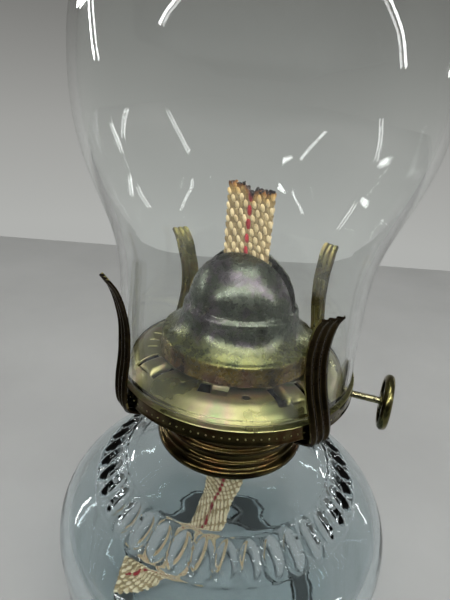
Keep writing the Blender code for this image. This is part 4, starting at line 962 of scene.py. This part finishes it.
def paleFloor(sizes):
    bm = bmesh.new()
    bmesh.ops.create_grid(bm, x_segments=6, y_segments=6, size=sizes["reach"])
    a, b = [Vector((*point, 0)) for point in sizes["farEdge"]]
    run = (b - a).normalized()
    front = Vector((run.y, -run.x, 0))
    turn = Matrix.Rotation(math.atan2(run.y, run.x), 4, "Z")
    bmesh.ops.transform(bm, matrix=Matrix.Translation((a + b) / 2 + front * sizes["reach"]) @ turn, verts=bm.verts)
    mesh = bpy.data.meshes.new("floor")
    bm.to_mesh(mesh)
    bm.free()
    floor = bpy.data.objects.new("floor", mesh)
    scene.collection.objects.link(floor)
    made, tree = newMaterial("paintedBoard")  # matt painted board, faintly mottled
    place = addNode(tree, "ShaderNodeTexCoord")
    mottle = addNode(tree, "ShaderNodeTexNoise", {"Scale": 14.0, "Detail": 4.0}, {"Vector": place.outputs["Object"]})
    tone = addNode(tree, "ShaderNodeValToRGB", {"stops": [(0.3, sizes["floorShade"]), (0.7, sizes["floorColour"])]},
                   {"Fac": mottle.outputs["Fac"]})
    paint = addNode(tree, "ShaderNodeBsdfPrincipled", {"Roughness": 0.6, "Specular IOR Level": 0.3},
                    {"Base Color": tone.outputs["Color"]})
    addNode(tree, "ShaderNodeOutputMaterial", None, {"Surface": paint.outputs["BSDF"]})
    mesh.materials.append(made)


paleFloor(stageSizes)


def darkCard(name, middle, size, tilt):
    # a dark sheet that stands for the shaded floor and room in front, a painted dark reflection: only gloss reflects
    # it, and neither camera nor light meets it; it fades out at its edges
    bm = bmesh.new()
    bmesh.ops.create_grid(bm, x_segments=1, y_segments=1, size=1.0)
    mesh = bpy.data.meshes.new(name)
    bm.to_mesh(mesh)
    bm.free()
    card = bpy.data.objects.new(name, mesh)
    scene.collection.objects.link(card)
    card.matrix_world = (Matrix.Translation(middle) @ Matrix.Rotation(math.radians(tilt), 4, "X")
                         @ Matrix.Diagonal((size[0] / 2, size[1] / 2, 1, 1)))
    made, tree = newMaterial(name + "ShadeReflection")
    place = addNode(tree, "ShaderNodeTexCoord")
    reach = addNode(tree, "ShaderNodeVectorMath", {"operation": "LENGTH"}, {0: place.outputs["Object"]})
    cover = addNode(tree, "ShaderNodeMapRange", {"interpolation_type": "SMOOTHSTEP", "From Min": 0.45, "From Max": 1.0,
                                                 "To Min": 1.0, "To Max": 0.0}, {"Value": reach.outputs["Value"]})
    darkReflection = addNode(tree, "ShaderNodeBsdfPrincipled", {"Base Color": hexToLinear("#1d282c"), "Roughness": 0.9})
    clear = addNode(tree, "ShaderNodeBsdfTransparent")
    mixed = addNode(tree, "ShaderNodeMixShader", None,
                    {0: cover.outputs["Result"], 1: clear.outputs["BSDF"], 2: darkReflection.outputs["BSDF"]})
    addNode(tree, "ShaderNodeOutputMaterial", None, {"Surface": mixed.outputs["Shader"]})
    mesh.materials.append(made)
    card.visible_camera = card.visible_diffuse = card.visible_transmission = card.visible_shadow = False
    card.visible_volume_scatter = False


# dark cards: painted dark reflections of the shaded floor and room in front
darkCard("cardOnTable", (0, -0.38, 0.004), (1.5, 0.75), 0)
darkCard("cardInFront", (0.03, -0.64, 0.16), (1.5, 0.5), 84)


def areaLight(name, matrix, size, power, mirrored=True):
    light = bpy.data.lights.new(name, "AREA")
    light.shape = "RECTANGLE"
    light.size, light.size_y = size
    light.energy = power
    lamp = bpy.data.objects.new(name, light)
    scene.collection.objects.link(lamp)
    lamp.matrix_world = matrix
    lamp.visible_camera = False
    light.cycles.use_multiple_importance_sampling = mirrored  # off: it lights the matt and plated sides, glass won't show it


def softbox(name, azimuth, rise, distance, size, power):
    # a broad lamp that faces the burner from a direction given in degrees
    away = Matrix.Rotation(math.radians(azimuth + 90), 4, "Z") @ Matrix.Rotation(math.radians(90 - rise), 4, "X")
    areaLight(name, Matrix.Translation((0, 0, 0.12)) @ away @ Matrix.Translation((0, 0, distance)), size,
              power, mirrored=False)


def tubeLamp(name, ends, power, distance=3.0, width=0.07):
    # a slim lamp drawn between two directions from the chimney's middle, azimuth and rise in degrees
    heart = Vector((0, 0, 0.155))
    tips = []
    for azimuth, rise in ends:
        tip = Vector((math.cos(math.radians(azimuth)), math.sin(math.radians(azimuth)), math.tan(math.radians(rise))))
        tips.append(heart + tip.normalized() * distance)
    middle, run = (tips[0] + tips[1]) / 2, tips[1] - tips[0]
    back = (middle - heart).normalized()
    side = run.normalized().cross(back).normalized()
    matrix = Matrix((side, back.cross(side), back)).transposed().to_4x4()
    areaLight(name, Matrix.Translation(middle) @ matrix, (width, run.length), power)


softbox("frontSoftbox", -62, 46, 1.25, (2.3, 0.42), 17.0)
softbox("ceilingSoftbox", -60, 78, 1.2, (1.1, 0.55), 8.0)
tubeLamp("rightTube", [(1, 9), (-12, 28)], 6.5)
tubeLamp("leftTube", [(-131, 15), (-117, 30)], 6.5)
tubeLamp("frontTube", [(-109, 30), (-101, 32)], 2.7)
tubeLamp("rearLeftTube", [(159, 13.5), (167, 16.5)], 3.6)
tubeLamp("sideLeftTube", [(173, 17), (184, 5)], 4.5)
tubeLamp("rearRightTube", [(65, 8), (60, 13)], 1.8)
tubeLamp("rearRightLowTube", [(53, 13), (41, 7)], 2.4)


def paleWorld():
    world = bpy.data.worlds.new("paleRoom")
    world.use_nodes = True
    tree = world.node_tree
    tree.nodes.clear()
    # lighter towards the table and greyer overhead, as a room lit from above looks
    place = addNode(tree, "ShaderNodeTexCoord")
    height = addNode(tree, "ShaderNodeSeparateXYZ", None, {"Vector": place.outputs["Generated"]})
    share = addNode(tree, "ShaderNodeMapRange", {"From Min": -1.0, "From Max": 1.0, "To Min": 0.0, "To Max": 1.0},
                    {"Value": height.outputs["Z"]})
    wall = addNode(tree, "ShaderNodeValToRGB",
                   {"stops": [(0.30, "#b0b1af"), (0.38, "#b0b1ae"), (0.47, "#a0a09d"), (0.568, "#7e7e7b"),
                              (0.62, "#6f6e6b"), (0.72, "#575653"), (1.0, "#5a5956")]}, {"Fac": share.outputs["Result"]})
    # the room's front, behind the camera, lies in shade
    front = addNode(tree, "ShaderNodeMapRange",
                    {"interpolation_type": "SMOOTHSTEP", "From Min": -0.8, "From Max": 0.3, "To Min": 0.42, "To Max": 1.0},
                    {"Value": height.outputs["Y"]})
    light = addNode(tree, "ShaderNodeBackground", None,
                    {"Color": wall.outputs["Color"], "Strength": front.outputs["Result"]})
    addNode(tree, "ShaderNodeOutputWorld", None, {"Surface": light.outputs["Background"]})
    scene.world = world


paleWorld()

cameraSizes = {"place": (0.03038, -0.11249, 0.17247), "forward": (-0.2747, 0.8762, -0.3961),
               "up": (-0.1931, 0.3533, 0.9154), "lens": 18.0, "sensor": 24.0}


def photoCamera(sizes):
    data = bpy.data.cameras.new("photoCamera")
    data.sensor_fit = "VERTICAL"
    data.sensor_height = sizes["sensor"]
    data.lens = sizes["lens"]
    data.clip_start = 0.005
    eye = bpy.data.objects.new("photoCamera", data)
    scene.collection.objects.link(eye)
    back = -Vector(sizes["forward"]).normalized()
    right = Vector(sizes["up"]).cross(back).normalized()
    up = back.cross(right)
    eye.matrix_world = Matrix((right, up, back)).transposed().to_4x4()
    eye.location = sizes["place"]
    scene.camera = eye


photoCamera(cameraSizes)
scene.view_settings.view_transform = "Standard"
print("scene finished")
